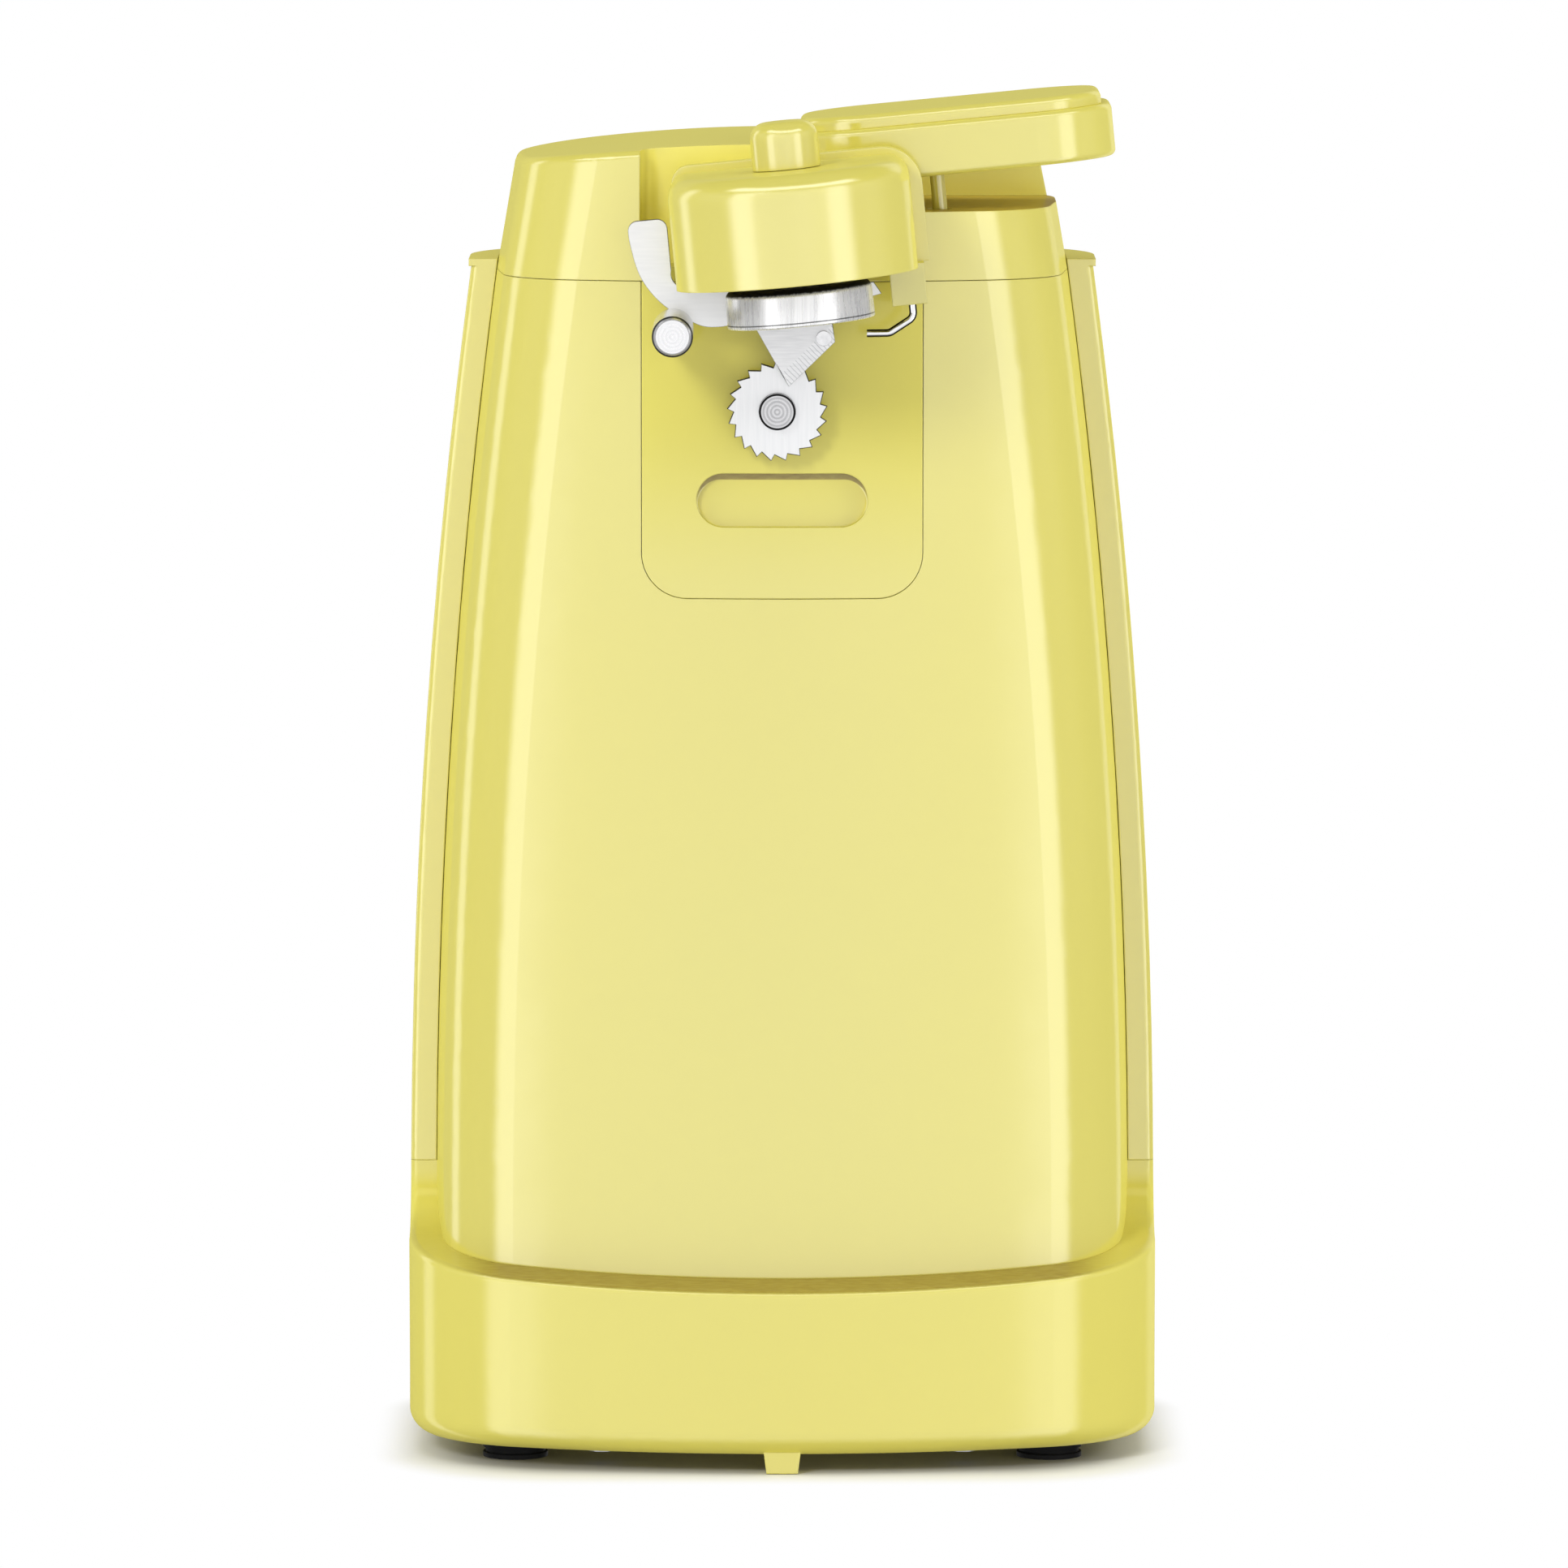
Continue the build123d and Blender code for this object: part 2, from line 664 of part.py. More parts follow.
with BuildPart() as scooped_body:
    add(rounded_body.part)
    add(scoop_solid(0.0), mode=Mode.SUBTRACT)
    scoop_edges = scooped_body.edges(Select.LAST)
    rim_edges = scoop_edges - scoop_edges.filter_by(Axis.X)
    fillet(rim_edges.filter_by_position(Axis.Z, RIM_Z - OVERRUN, RAIL_TOP - OVERRUN), RIM_ROUND)

with BuildPart() as base_form:
    add(scooped_body.part)
    split(bisect_by=Plane.XY.offset(BASE_SEAM_Z), keep=Keep.BOTTOM)
    split(bisect_by=front_plane(BASE_SEAM_Y), keep=Keep.TOP)

with BuildPart() as base_void:
    add(body_solid(WALL, FLOOR_GAP - OVERRUN, BASE_SEAM_Z + OVERRUN))
    add(scoop_solid(WALL), mode=Mode.SUBTRACT)

with BuildPart() as base:
    add(base_form.part)
    add(base_void.part, mode=Mode.SUBTRACT)
    with BuildSketch(Plane.XY.offset(COVER_TOP)):
        with Locations((-COVER_SCREW_X, COVER_SCREW_FRONT_Y), (COVER_SCREW_X, COVER_SCREW_FRONT_Y)):
            Circle(COVER_POST_RADIUS)
            Circle(COVER_SCREW_RADIUS, mode=Mode.SUBTRACT)
    extrude(amount=COVER_POST_TOP - COVER_TOP)
    with BuildSketch(front_plane(BASE_FRONT + WALL + NIB_DEPTH - NIB_PROUD)):
        with BuildLine():
            Polyline(
                (-NIB_FOOT_WIDTH / 2, NIB_LIFT),
                (NIB_FOOT_WIDTH / 2, NIB_LIFT),
                (NIB_WIDTH / 2, FLOOR_GAP + BODY_BOTTOM_ROUND),
                (NIB_WIDTH / 2, COVER_TOP + NIB_RISE),
                (-NIB_WIDTH / 2, COVER_TOP + NIB_RISE),
                (-NIB_WIDTH / 2, FLOOR_GAP + BODY_BOTTOM_ROUND),
                close=True,
            )
        make_face()
    extrude(amount=NIB_DEPTH)
save(base.part, "base")

with BuildPart() as rear_void:
    add(body_solid(WALL, FLOOR_GAP - OVERRUN, RAIL_TOP + OVERRUN))
    split(bisect_by=front_plane(BASE_SEAM_Y), keep=Keep.BOTTOM)
    split(bisect_by=Plane.XY.offset(RAIL_TOP - RAIL_DEPTH), keep=Keep.BOTTOM)

with BuildPart() as rear_tubes:
    with BuildSketch(front_plane(BODY_BACK)):
        with Locations(*HOUSING_SCREW_SITES):
            Circle(HOUSING_TUBE_RADIUS)
    extrude(amount=BODY_BACK - HOUSING_JOINT_Y)
    with BuildSketch(Plane.XY.offset(COVER_TOP)):
        with Locations((-COVER_SCREW_X, COVER_SCREW_BACK_Y), (COVER_SCREW_X, COVER_SCREW_BACK_Y)):
            Circle(COVER_POST_RADIUS)
    extrude(amount=COVER_POST_TOP - COVER_TOP)
    add(body_solid(WALL / 2, FLOOR_GAP, RAIL_TOP), mode=Mode.INTERSECT)

with BuildPart() as rear_housing:
    add(scooped_body.part)
    extrude(body_outline(RAIL_TOP - LIP_HEIGHT, -LIP_OVERHANG), amount=LIP_HEIGHT)
    split(bisect_by=front_plane(RAIL_FRONT), keep=Keep.BOTTOM)
    add(body_solid(RAIL_WIDTH - RAIL_GAP, FLOOR_GAP - OVERRUN, RAIL_TOP + OVERRUN), mode=Mode.SUBTRACT)
    add(rear_void.part, mode=Mode.SUBTRACT)
    with BuildSketch(Plane.YZ.offset(-FAR)):
        with BuildLine():
            Polyline(
                (BASE_FRONT, 0),
                (BASE_SEAM_Y + BASE_GAP, 0),
                (BASE_SEAM_Y + BASE_GAP, BASE_SEAM_Z + BASE_GAP),
                (BASE_FRONT, BASE_SEAM_Z + BASE_GAP),
                close=True,
            )
        make_face()
    extrude(amount=2 * FAR, mode=Mode.SUBTRACT)
    add(rear_tubes.part)
    with BuildSketch(front_plane(FAR)):
        with Locations(*HOUSING_SCREW_SITES):
            Circle(HOUSING_TUBE_BORE)
    extrude(amount=FAR - HOUSING_JOINT_Y - HOUSING_TUBE_FLOOR, mode=Mode.SUBTRACT)
    with BuildSketch(front_plane(FAR)):
        with Locations(*HOUSING_SCREW_SITES):
            Circle(HOUSING_SCREW_RADIUS + PANEL_GAP)
    extrude(amount=FAR - RAIL_FRONT, mode=Mode.SUBTRACT)
    with BuildSketch(Plane.XY.offset(0)):
        with Locations((-COVER_SCREW_X, COVER_SCREW_BACK_Y), (COVER_SCREW_X, COVER_SCREW_BACK_Y)):
            Circle(COVER_SCREW_RADIUS)
    extrude(amount=COVER_TOP + COVER_SCREW_REACH, mode=Mode.SUBTRACT)
    with BuildSketch(front_plane(FAR)):
        with Locations((0, GLAND_Z)):
            Circle(GLAND_RADIUS)
        with Locations((0, VENT_Z)):
            with GridLocations(VENT_PITCH, 1, VENT_COUNT, 1):
                SlotOverall(VENT_LENGTH, VENT_WIDTH, rotation=90)
    extrude(amount=FAR - BRACKET_REAR, mode=Mode.SUBTRACT)
save(rear_housing.part, "rear_housing")

with BuildPart() as front_bosses:
    with BuildSketch(front_plane(HOUSING_JOINT_Y)):
        with Locations(*HOUSING_SCREW_SITES):
            Circle(HOUSING_BOSS_RADIUS)
    extrude(amount=FAR)
    with BuildSketch(front_plane(FRONT_PLATE_Y)):
        with Locations(*PLATE_SCREW_SITES):
            Circle(PLATE_BOSS_RADIUS)
    extrude(amount=FAR)
    add(panel_solid(WALL / 2, RIM_Z, SEAM_Z, FAR), mode=Mode.INTERSECT)

with BuildPart() as front_housing:
    add(panel_solid(0.0, RIM_Z - WALL, SEAM_Z - SEAM_GAP, PANEL_BACK))
    add(panel_solid(WALL, RIM_Z - 2 * WALL, SEAM_Z + OVERRUN, PANEL_BACK + OVERRUN), mode=Mode.SUBTRACT)
    add(insert_prism(SEAM_GAP), mode=Mode.SUBTRACT)
    add(front_bosses.part)
    add(base_form.part, mode=Mode.SUBTRACT)
    with BuildSketch(front_plane(HOUSING_JOINT_Y)):
        with Locations(*HOUSING_SCREW_SITES):
            Circle(HOUSING_SCREW_RADIUS)
    extrude(amount=HOUSING_SCREW_REACH, mode=Mode.SUBTRACT)
    with BuildSketch(front_plane(FRONT_PLATE_Y)):
        with Locations(*PLATE_SCREW_SITES):
            Circle(PLATE_SCREW_RADIUS)
    extrude(amount=PLATE_SCREW_REACH - PLATE_GAUGE, mode=Mode.SUBTRACT)
save(front_housing.part, "front_housing")

with BuildPart() as insert_hollow:
    add(panel_solid(INSERT_WALL, INSERT_LOW - 2 * OVERRUN, SEAM_Z + OVERRUN, PANEL_BACK + OVERRUN))

with BuildPart() as recess_cut:
    with BuildSketch(front_plane(0)):
        with Locations((0, RECESS_Z)):
            SlotOverall(RECESS_LENGTH, RECESS_HEIGHT)
    extrude(amount=FAR)
    add(panel_solid(RECESS_DEPTH, INSERT_LOW - OVERRUN, SEAM_Z, PANEL_BACK), mode=Mode.SUBTRACT)

with BuildPart() as front_insert:
    add(panel_solid(0.0, INSERT_LOW - OVERRUN, SEAM_Z - SEAM_GAP, PANEL_BACK))
    add(insert_hollow.part, mode=Mode.SUBTRACT)
    add(insert_prism(0.0), mode=Mode.INTERSECT)
    add(recess_cut.part, mode=Mode.SUBTRACT)
    with BuildSketch(front_plane(0)):
        with Locations((SPINDLE_X, SPINDLE_Z)):
            Circle(COLLAR_RADIUS + COLLAR_CLEAR)
    extrude(amount=FAR, mode=Mode.SUBTRACT)
save(front_insert.part, "front_insert")

with BuildPart() as head_hollow:
    add(head_solid(WALL))
    with BuildSketch(Plane.XY.offset(SEAM_Z - OVERRUN)):
        with Locations(((POCKET_LEFT + POCKET_RIGHT) / 2, POCKET_BACK + WALL - FAR / 2)):
            Rectangle(POCKET_RIGHT - POCKET_LEFT + 2 * WALL, FAR)
    extrude(amount=FAR, mode=Mode.SUBTRACT)
    with BuildSketch(Plane.XY.offset(NOTCH_FLOOR - WALL)):
        with Locations((NOTCH_LEFT - WALL + FAR / 2, NOTCH_BACK + WALL - FAR / 2)):
            RectangleRounded(FAR, FAR, NOTCH_CORNER + WALL)
    extrude(amount=FAR, mode=Mode.SUBTRACT)
    with BuildSketch(front_plane(POCKET_BACK + PIVOT_BOSS_LENGTH + WALL)):
        with Locations((PIVOT_X, PIVOT_Z)):
            Circle(PIVOT_BOSS_RADIUS)
    extrude(amount=FAR, mode=Mode.SUBTRACT)

with BuildPart() as top_housing:
    add(head_solid(0.0))
    fillet(top_housing.faces().sort_by(Axis.Z)[-1].edges(), HEAD_EDGE_ROUND)
    add(head_hollow.part, mode=Mode.SUBTRACT)
    with BuildSketch(Plane.XY.offset(POCKET_FLOOR)):
        with Locations(((POCKET_LEFT + POCKET_RIGHT) / 2, POCKET_BACK - FAR / 2)):
            RectangleRounded(POCKET_RIGHT - POCKET_LEFT, FAR, POCKET_CORNER)
    extrude(amount=FAR, mode=Mode.SUBTRACT)
    with BuildSketch(Plane.XY.offset(NOTCH_FLOOR)):
        with Locations((NOTCH_LEFT + FAR / 2, NOTCH_BACK - FAR / 2)):
            RectangleRounded(FAR, FAR, NOTCH_CORNER)
    extrude(amount=FAR, mode=Mode.SUBTRACT)
    with BuildSketch(Plane.XY.offset(NOTCH_FLOOR)):
        with Locations((POST_X, POST_Y)):
            Circle(POST_RADIUS + POST_HOLE_CLEAR)
    extrude(amount=2 * WALL, both=True, mode=Mode.SUBTRACT)
    with BuildSketch(front_plane(POCKET_BACK + PIVOT_BOSS_LENGTH + WALL)):
        with Locations((PIVOT_X, PIVOT_Z)):
            Circle(PIVOT_BUSH_RADIUS)
    extrude(amount=FAR, mode=Mode.SUBTRACT)
save(top_housing.part, "top_housing")

with BuildPart() as bottom_cover:
    extrude(body_outline(COVER_LOW, WALL + PANEL_GAP), amount=COVER_THICK)
    with BuildSketch(Plane.XY.offset(COVER_LOW)):
        with Locations((0, BASE_FRONT + WALL)):
            Rectangle(NIB_WIDTH + 2 * PANEL_GAP, 2 * NIB_DEPTH)
        with Locations(*FOOT_SITES):
            Circle(FOOT_SPIGOT)
        with Locations(*COVER_SCREW_SITES):
            Circle(COVER_SCREW_RADIUS + PANEL_GAP)
    extrude(amount=COVER_THICK, mode=Mode.SUBTRACT)
save(bottom_cover.part, "bottom_cover")

with BuildPart() as feet:
    with BuildSketch(Plane.XY):
        with Locations(*FOOT_SITES):
            Circle(FOOT_RADIUS - FOOT_GROOVE)
    extrude(amount=COVER_LOW)
    rib = COVER_LOW / (2 * FOOT_RIBS - 1)
    for step in range(FOOT_RIBS):
        with BuildSketch(Plane.XY.offset(2 * step * rib)):
            with Locations(*FOOT_SITES):
                Circle(FOOT_RADIUS)
        extrude(amount=rib)
    with BuildSketch(Plane.XY.offset(COVER_LOW)):
        with Locations(*FOOT_SITES):
            Circle(FOOT_SPIGOT)
    extrude(amount=COVER_THICK + FOOT_SPIGOT_RISE)
save(feet.part, "feet")

with BuildPart() as cover_screws:
    with BuildSketch(Plane.XY.offset(COVER_LOW)):
        with Locations(*COVER_SCREW_SITES):
            Circle(COVER_HEAD_RADIUS)
    extrude(amount=-COVER_HEAD_DEPTH)
    with BuildSketch(Plane.XY.offset(COVER_LOW)):
        with Locations(*COVER_SCREW_SITES):
            Circle(COVER_SCREW_RADIUS)
    extrude(amount=COVER_THICK + COVER_SCREW_REACH)
save(cover_screws.part, "cover_screws")

with BuildPart() as housing_screws:
    with BuildSketch(front_plane(HOUSING_JOINT_Y + HOUSING_TUBE_FLOOR)):
        with Locations(*HOUSING_SCREW_SITES):
            Circle(HOUSING_HEAD_RADIUS)
    extrude(amount=-HOUSING_HEAD_DEPTH)
    with BuildSketch(front_plane(HOUSING_JOINT_Y + HOUSING_TUBE_FLOOR)):
        with Locations(*HOUSING_SCREW_SITES):
            Circle(HOUSING_SCREW_RADIUS)
    extrude(amount=HOUSING_TUBE_FLOOR + HOUSING_SCREW_REACH)
save(housing_screws.part, "housing_screws")

with BuildPart() as cord_gland:
    with BuildSketch(front_plane(BODY_BACK - WALL - GLAND_SEAT)):
        with Locations((0, GLAND_Z)):
            Circle(GLAND_FLANGE)
    extrude(amount=GLAND_FLANGE_THICK)
    with BuildSketch(front_plane(BODY_BACK - GLAND_INSET)):
        with Locations((0, GLAND_Z)):
            Circle(GLAND_RADIUS)
    extrude(amount=WALL + GLAND_SEAT)
    with BuildSketch(front_plane(FAR)):
        with Locations((0, GLAND_Z)):
            Circle(GLAND_BORE)
    extrude(amount=FAR, mode=Mode.SUBTRACT)
save(cord_gland.part, "cord_gland")

# Lever group
with BuildPart() as paddle_form:
    with BuildSketch(lever_top(PADDLE_LOW)):
        with Locations(((PADDLE_LEFT + PADDLE_RIGHT) / 2, 0)):
            RectangleRounded(PADDLE_RIGHT - PADDLE_LEFT, PADDLE_DEPTH, PADDLE_CORNER)
    extrude(amount=PADDLE_TOP - PADDLE_LOW)
    fillet(paddle_form.faces().sort_by(LEVER_UP)[-1].edges(), PADDLE_ROUND)
    fillet(paddle_form.faces().sort_by(LEVER_UP)[0].edges(), PADDLE_ROUND)

with BuildPart() as lever_body:
    with BuildSketch(lever_front(HOOD_BACK)) as hood_outline:
        with BuildLine():
            Polyline(
                (HOOD_LEFT, HOOD_LOW),
                (HOOD_RIGHT, HOOD_LOW),
                (HOOD_RIGHT, HOOD_TOP),
                (HOOD_LEFT, HOOD_TOP),
                close=True,
            )
        make_face()
        hood_corners = hood_outline.vertices().sort_by(Axis.Y)[-2:].sort_by(Axis.X)
        fillet(hood_corners[1], HOOD_CORNER_RIGHT)
        fillet(hood_outline.vertices().sort_by(Axis.X)[:2].sort_by(Axis.Y)[1], HOOD_CORNER_LEFT)
    extrude(amount=HOOD_THICK)
    with BuildSketch(lever_front(HUB_BACK)):
        Circle(HUB_RADIUS)
        with Locations((HUB_RIGHT / 2, (HUB_LOW + HUB_TOP) / 2)):
            Rectangle(HUB_RIGHT, HUB_TOP - HUB_LOW)
    extrude(amount=HUB_BACK - HOOD_BACK)
    add(paddle_form.part)
    with BuildSketch(lever_front(BLOCK_BACK)):
        with Locations(((BLOCK_LEFT + BLOCK_RIGHT) / 2, (BLOCK_LOW + HOOD_LOW) / 2)):
            Rectangle(BLOCK_RIGHT - BLOCK_LEFT, HOOD_LOW - BLOCK_LOW)
    extrude(amount=BLOCK_DEPTH)
    with BuildSketch(lever_top(POST_LOW)):
        with Locations((POST_U, POST_Y)):
            Circle(POST_RADIUS)
    extrude(amount=PADDLE_LOW - POST_LOW + PADDLE_ROUND)
    with BuildSketch(lever_front(HUB_BACK)):
        Circle(PIN_RADIUS)
    extrude(amount=HUB_BACK - HOOD_FRONT - PIN_SKIN, mode=Mode.SUBTRACT)
    with BuildSketch(lever_front(HUB_BACK)):
        with Locations(*LEVER_SCREW_SITES):
            Circle(LEVER_HEAD_RADIUS + PANEL_GAP)
    extrude(amount=HUB_BACK - LEVER_SEAT, mode=Mode.SUBTRACT)
    with BuildSketch(lever_front(HUB_BACK)):
        with Locations(*LEVER_SCREW_SITES):
            Circle(LEVER_SCREW_RADIUS + RUN_CLEAR)
    extrude(amount=HUB_BACK - HOOD_FRONT, mode=Mode.SUBTRACT)
    with BuildSketch(lever_top(BLOCK_LOW)):
        with Locations((WIRE_U, WIRE_Y)):
            Circle(WIRE_RADIUS)
    extrude(amount=WIRE_ROOT, mode=Mode.SUBTRACT)
save(lever_body.part, "lever_body")

with BuildPart() as lever_cap:
    with BuildSketch(lever_top(PADDLE_TOP)):
        with Locations(((PADDLE_LEFT + PADDLE_RIGHT) / 2, 0)):
            RectangleRounded(
                PADDLE_RIGHT - PADDLE_LEFT - 2 * CAP_INSET,
                PADDLE_DEPTH - 2 * CAP_INSET,
                PADDLE_CORNER - CAP_INSET,
            )
    extrude(amount=CAP_HEIGHT)
    fillet(lever_cap.faces().sort_by(LEVER_UP)[-1].edges(), CAP_ROUND)
save(lever_cap.part, "lever_cap")

with BuildPart() as magnet_housing:
    with BuildSketch(lever_top(BOSS_LOW)):
        with BuildLine():
            ThreePointArc(
                (MAGNET_U - BOSS_RADIUS, MAGNET_Y),
                (MAGNET_U, MAGNET_Y - BOSS_RADIUS),
                (MAGNET_U + BOSS_RADIUS, MAGNET_Y),
            )
            Polyline(
                (MAGNET_U + BOSS_RADIUS, MAGNET_Y),
                (MAGNET_U + BOSS_RADIUS, HOOD_FRONT),
                (MAGNET_U - BOSS_RADIUS, HOOD_FRONT),
                (MAGNET_U - BOSS_RADIUS, MAGNET_Y),
            )
        make_face()
    extrude(amount=BOSS_TOP - BOSS_LOW)
    fillet(magnet_housing.faces().sort_by(LEVER_UP)[-1].edges().sort_by(Axis.Y)[:-1], BOSS_ROUND)
    inner = BOSS_RADIUS - BOSS_WALL
    with BuildSketch(lever_top(BOSS_LOW)):
        with BuildLine():
            ThreePointArc(
                (MAGNET_U - inner, MAGNET_Y),
                (MAGNET_U, MAGNET_Y - inner),
                (MAGNET_U + inner, MAGNET_Y),
            )
            Polyline(
                (MAGNET_U + inner, MAGNET_Y),
                (MAGNET_U + inner, HOOD_FRONT - BOSS_BACK_WALL),
                (MAGNET_U - inner, HOOD_FRONT - BOSS_BACK_WALL),
                (MAGNET_U - inner, MAGNET_Y),
            )
        make_face()
    extrude(amount=BOSS_TOP - BOSS_CEILING - BOSS_LOW, mode=Mode.SUBTRACT)
    with BuildSketch(lever_top(TUBE_LOW)):
        with Locations((MAGNET_U, MAGNET_Y)):
            Circle(TUBE_RADIUS)
    extrude(amount=BOSS_TOP - BOSS_CEILING - TUBE_LOW)
    with BuildSketch(lever_front(HOOD_FRONT)):
        with Locations(*LEVER_SCREW_SITES):
            Circle(BOSS_POST_RADIUS)
    extrude(amount=LEVER_SCREW_REACH)
    with BuildSketch(lever_top(BOSS_LOW)):
        with Locations((MAGNET_U, MAGNET_Y)):
            Circle(STEM_RADIUS + RUN_CLEAR)
    extrude(amount=BOSS_TOP - BOSS_LOW, mode=Mode.SUBTRACT)
    with BuildSketch(lever_front(HOOD_FRONT)):
        with Locations(*LEVER_SCREW_SITES):
            Circle(LEVER_SCREW_RADIUS)
    extrude(amount=LEVER_SCREW_REACH, mode=Mode.SUBTRACT)
    flange_left = FLANGE_LEFT - FLANGE_CLEAR
    flange_right = FLANGE_RIGHT + FLANGE_CLEAR
    flange_top = FLANGE_TOP + FLANGE_CLEAR
    with BuildSketch(lever_front(HOOD_FRONT)):
        with Locations(((flange_left + flange_right) / 2, (BOSS_LOW + flange_top) / 2)):
            Rectangle(flange_right - flange_left, flange_top - BOSS_LOW)
    extrude(amount=PLATE_THICK, mode=Mode.SUBTRACT)
save(magnet_housing.part, "magnet_housing")

with BuildPart() as lever_screws:
    with BuildSketch(lever_front(LEVER_SEAT)):
        with Locations(*LEVER_SCREW_SITES):
            Circle(LEVER_HEAD_RADIUS)
    extrude(amount=-LEVER_HEAD_DEPTH)
    with BuildSketch(lever_front(LEVER_SEAT)):
        with Locations(*LEVER_SCREW_SITES):
            Circle(LEVER_SCREW_RADIUS)
    extrude(amount=LEVER_SEAT - HOOD_FRONT + LEVER_SCREW_REACH)
save(lever_screws.part, "lever_screws")

with BuildPart() as lever_pivot_pin:
    with BuildSketch(lever_front(PIVOT_BUSH_BACK + RUN_CLEAR + CLIP_THICK + PIVOT_TAIL)):
        Circle(PIN_RADIUS)
    extrude(amount=PIVOT_BUSH_BACK + RUN_CLEAR + CLIP_THICK + PIVOT_TAIL - HOOD_FRONT - PIN_SKIN)
save(lever_pivot_pin.part, "lever_pivot_pin")

with BuildPart() as pivot_clip:
    with BuildSketch(lever_front(PIVOT_BUSH_BACK + RUN_CLEAR + CLIP_THICK)):
        Circle(CLIP_RADIUS)
        Circle(PIN_RADIUS, mode=Mode.SUBTRACT)
    extrude(amount=CLIP_THICK)
save(pivot_clip.part, "pivot_clip")

with BuildPart() as pivot_bush:
    with BuildSketch(front_plane(PIVOT_BUSH_BACK)):
        with Locations((PIVOT_X, PIVOT_Z)):
            Circle(PIVOT_BUSH_RADIUS)
            Circle(PIN_RADIUS + RUN_CLEAR, mode=Mode.SUBTRACT)
    extrude(amount=PIVOT_BUSH_BACK - POCKET_BACK)
save(pivot_bush.part, "pivot_bush")

with BuildPart() as cutter_plate:
    with BuildSketch(lever_front(HOOD_FRONT)) as plate_outline:
        with BuildLine():
            Spline(*PLATE_SWEEP, tangents=[(0, -1), (1, 0)])
            Polyline(PLATE_SWEEP[-1], *PLATE_BAR, PLATE_THROAT)
            ThreePointArc(PLATE_THROAT, PLATE_THROAT_MID, (TAB_RIGHT, PLATE_THROAT_TOP))
            Polyline(
                (TAB_RIGHT, PLATE_THROAT_TOP),
                (TAB_RIGHT, TAB_TOP),
                (TAB_LEFT, TAB_TOP),
                PLATE_SWEEP[0],
            )
        make_face()
        fillet(plate_outline.vertices().sort_by(Axis.Y)[-2:], TAB_CORNER)
        with Locations(((FLANGE_LEFT + FLANGE_RIGHT) / 2, (FLANGE_TOP + BLADE_TOP) / 2)):
            Rectangle(FLANGE_RIGHT - FLANGE_LEFT, FLANGE_TOP - BLADE_TOP)
        with BuildLine():
            Polyline(*PLATE_LOBE, close=True)
        make_face()
        with Locations((GUIDE_U, GUIDE_V)):
            Circle(GUIDE_RADIUS - PANEL_GAP)
            Circle(GUIDE_TENON, mode=Mode.SUBTRACT)
        with Locations(*RIVETS):
            Circle(RIVET_RADIUS, mode=Mode.SUBTRACT)
        with Locations(*LEVER_SCREW_SITES):
            Circle(LEVER_SCREW_RADIUS + RUN_CLEAR, mode=Mode.SUBTRACT)
    extrude(amount=PLATE_THICK)
    fold_low = PLATE_THROAT_TOP
    fold_top = TAB_TOP - TAB_CORNER
    with BuildSketch(lever_front(HOOD_FRONT + TAB_FOLD)):
        with Locations((TAB_RIGHT - TAB_FOLD_THICK / 2, (fold_low + fold_top) / 2)):
            Rectangle(TAB_FOLD_THICK, fold_top - fold_low)
    extrude(amount=TAB_FOLD)
save(cutter_plate.part, "cutter_plate")

with BuildPart() as guide_post:
    with BuildSketch(lever_front(PLATE_FRONT)):
        with Locations((GUIDE_U, GUIDE_V)):
            Circle(GUIDE_RADIUS)
    extrude(amount=GUIDE_LENGTH)
    chamfer(guide_post.faces().sort_by(Axis.Y)[0].edges(), GUIDE_CHAMFER)
    with BuildSketch(lever_front(HOOD_FRONT)):
        with Locations((GUIDE_U, GUIDE_V)):
            Circle(GUIDE_TENON)
    extrude(amount=PLATE_THICK)
save(guide_post.part, "guide_post")

with BuildPart() as cutter_blade:
    with BuildSketch(lever_front(PLATE_FRONT)):
        with BuildLine():
            Polyline(
                BLADE_TIP,
                BLADE_RIGHT,
                (BLADE_TOP_RIGHT, BLADE_TOP),
                (BLADE_TOP_LEFT, BLADE_TOP),
                close=True,
            )
        make_face()
        with Locations(*RIVETS):
            Circle(RIVET_RADIUS, mode=Mode.SUBTRACT)
    extrude(amount=BLADE_THICK)
save(cutter_blade.part, "cutter_blade")

with BuildPart() as blade_rivets:
    with BuildSketch(lever_front(HOOD_FRONT)):
        with Locations(*RIVETS):
            Circle(RIVET_RADIUS)
    extrude(amount=PLATE_THICK + BLADE_THICK)
    with BuildSketch(lever_front(PLATE_FRONT - BLADE_THICK)):
        with Locations(*RIVETS):
            Circle(RIVET_HEAD)
    extrude(amount=RIVET_HEAD_THICK)
save(blade_rivets.part, "blade_rivets")

with BuildPart() as rim_wire:
    with BuildLine(lever_front(WIRE_Y)) as wire_path:
        FilletPolyline(
            (WIRE_U, BLOCK_LOW + WIRE_ROOT),
            WIRE_DROP,
            WIRE_BEND,
            WIRE_END,
            radius=WIRE_BEND_RADIUS,
        )
    with BuildSketch(lever_top(BLOCK_LOW + WIRE_ROOT)):
        with Locations((WIRE_U, WIRE_Y)):
            Circle(WIRE_RADIUS)
    sweep()
save(rim_wire.part, "rim_wire")

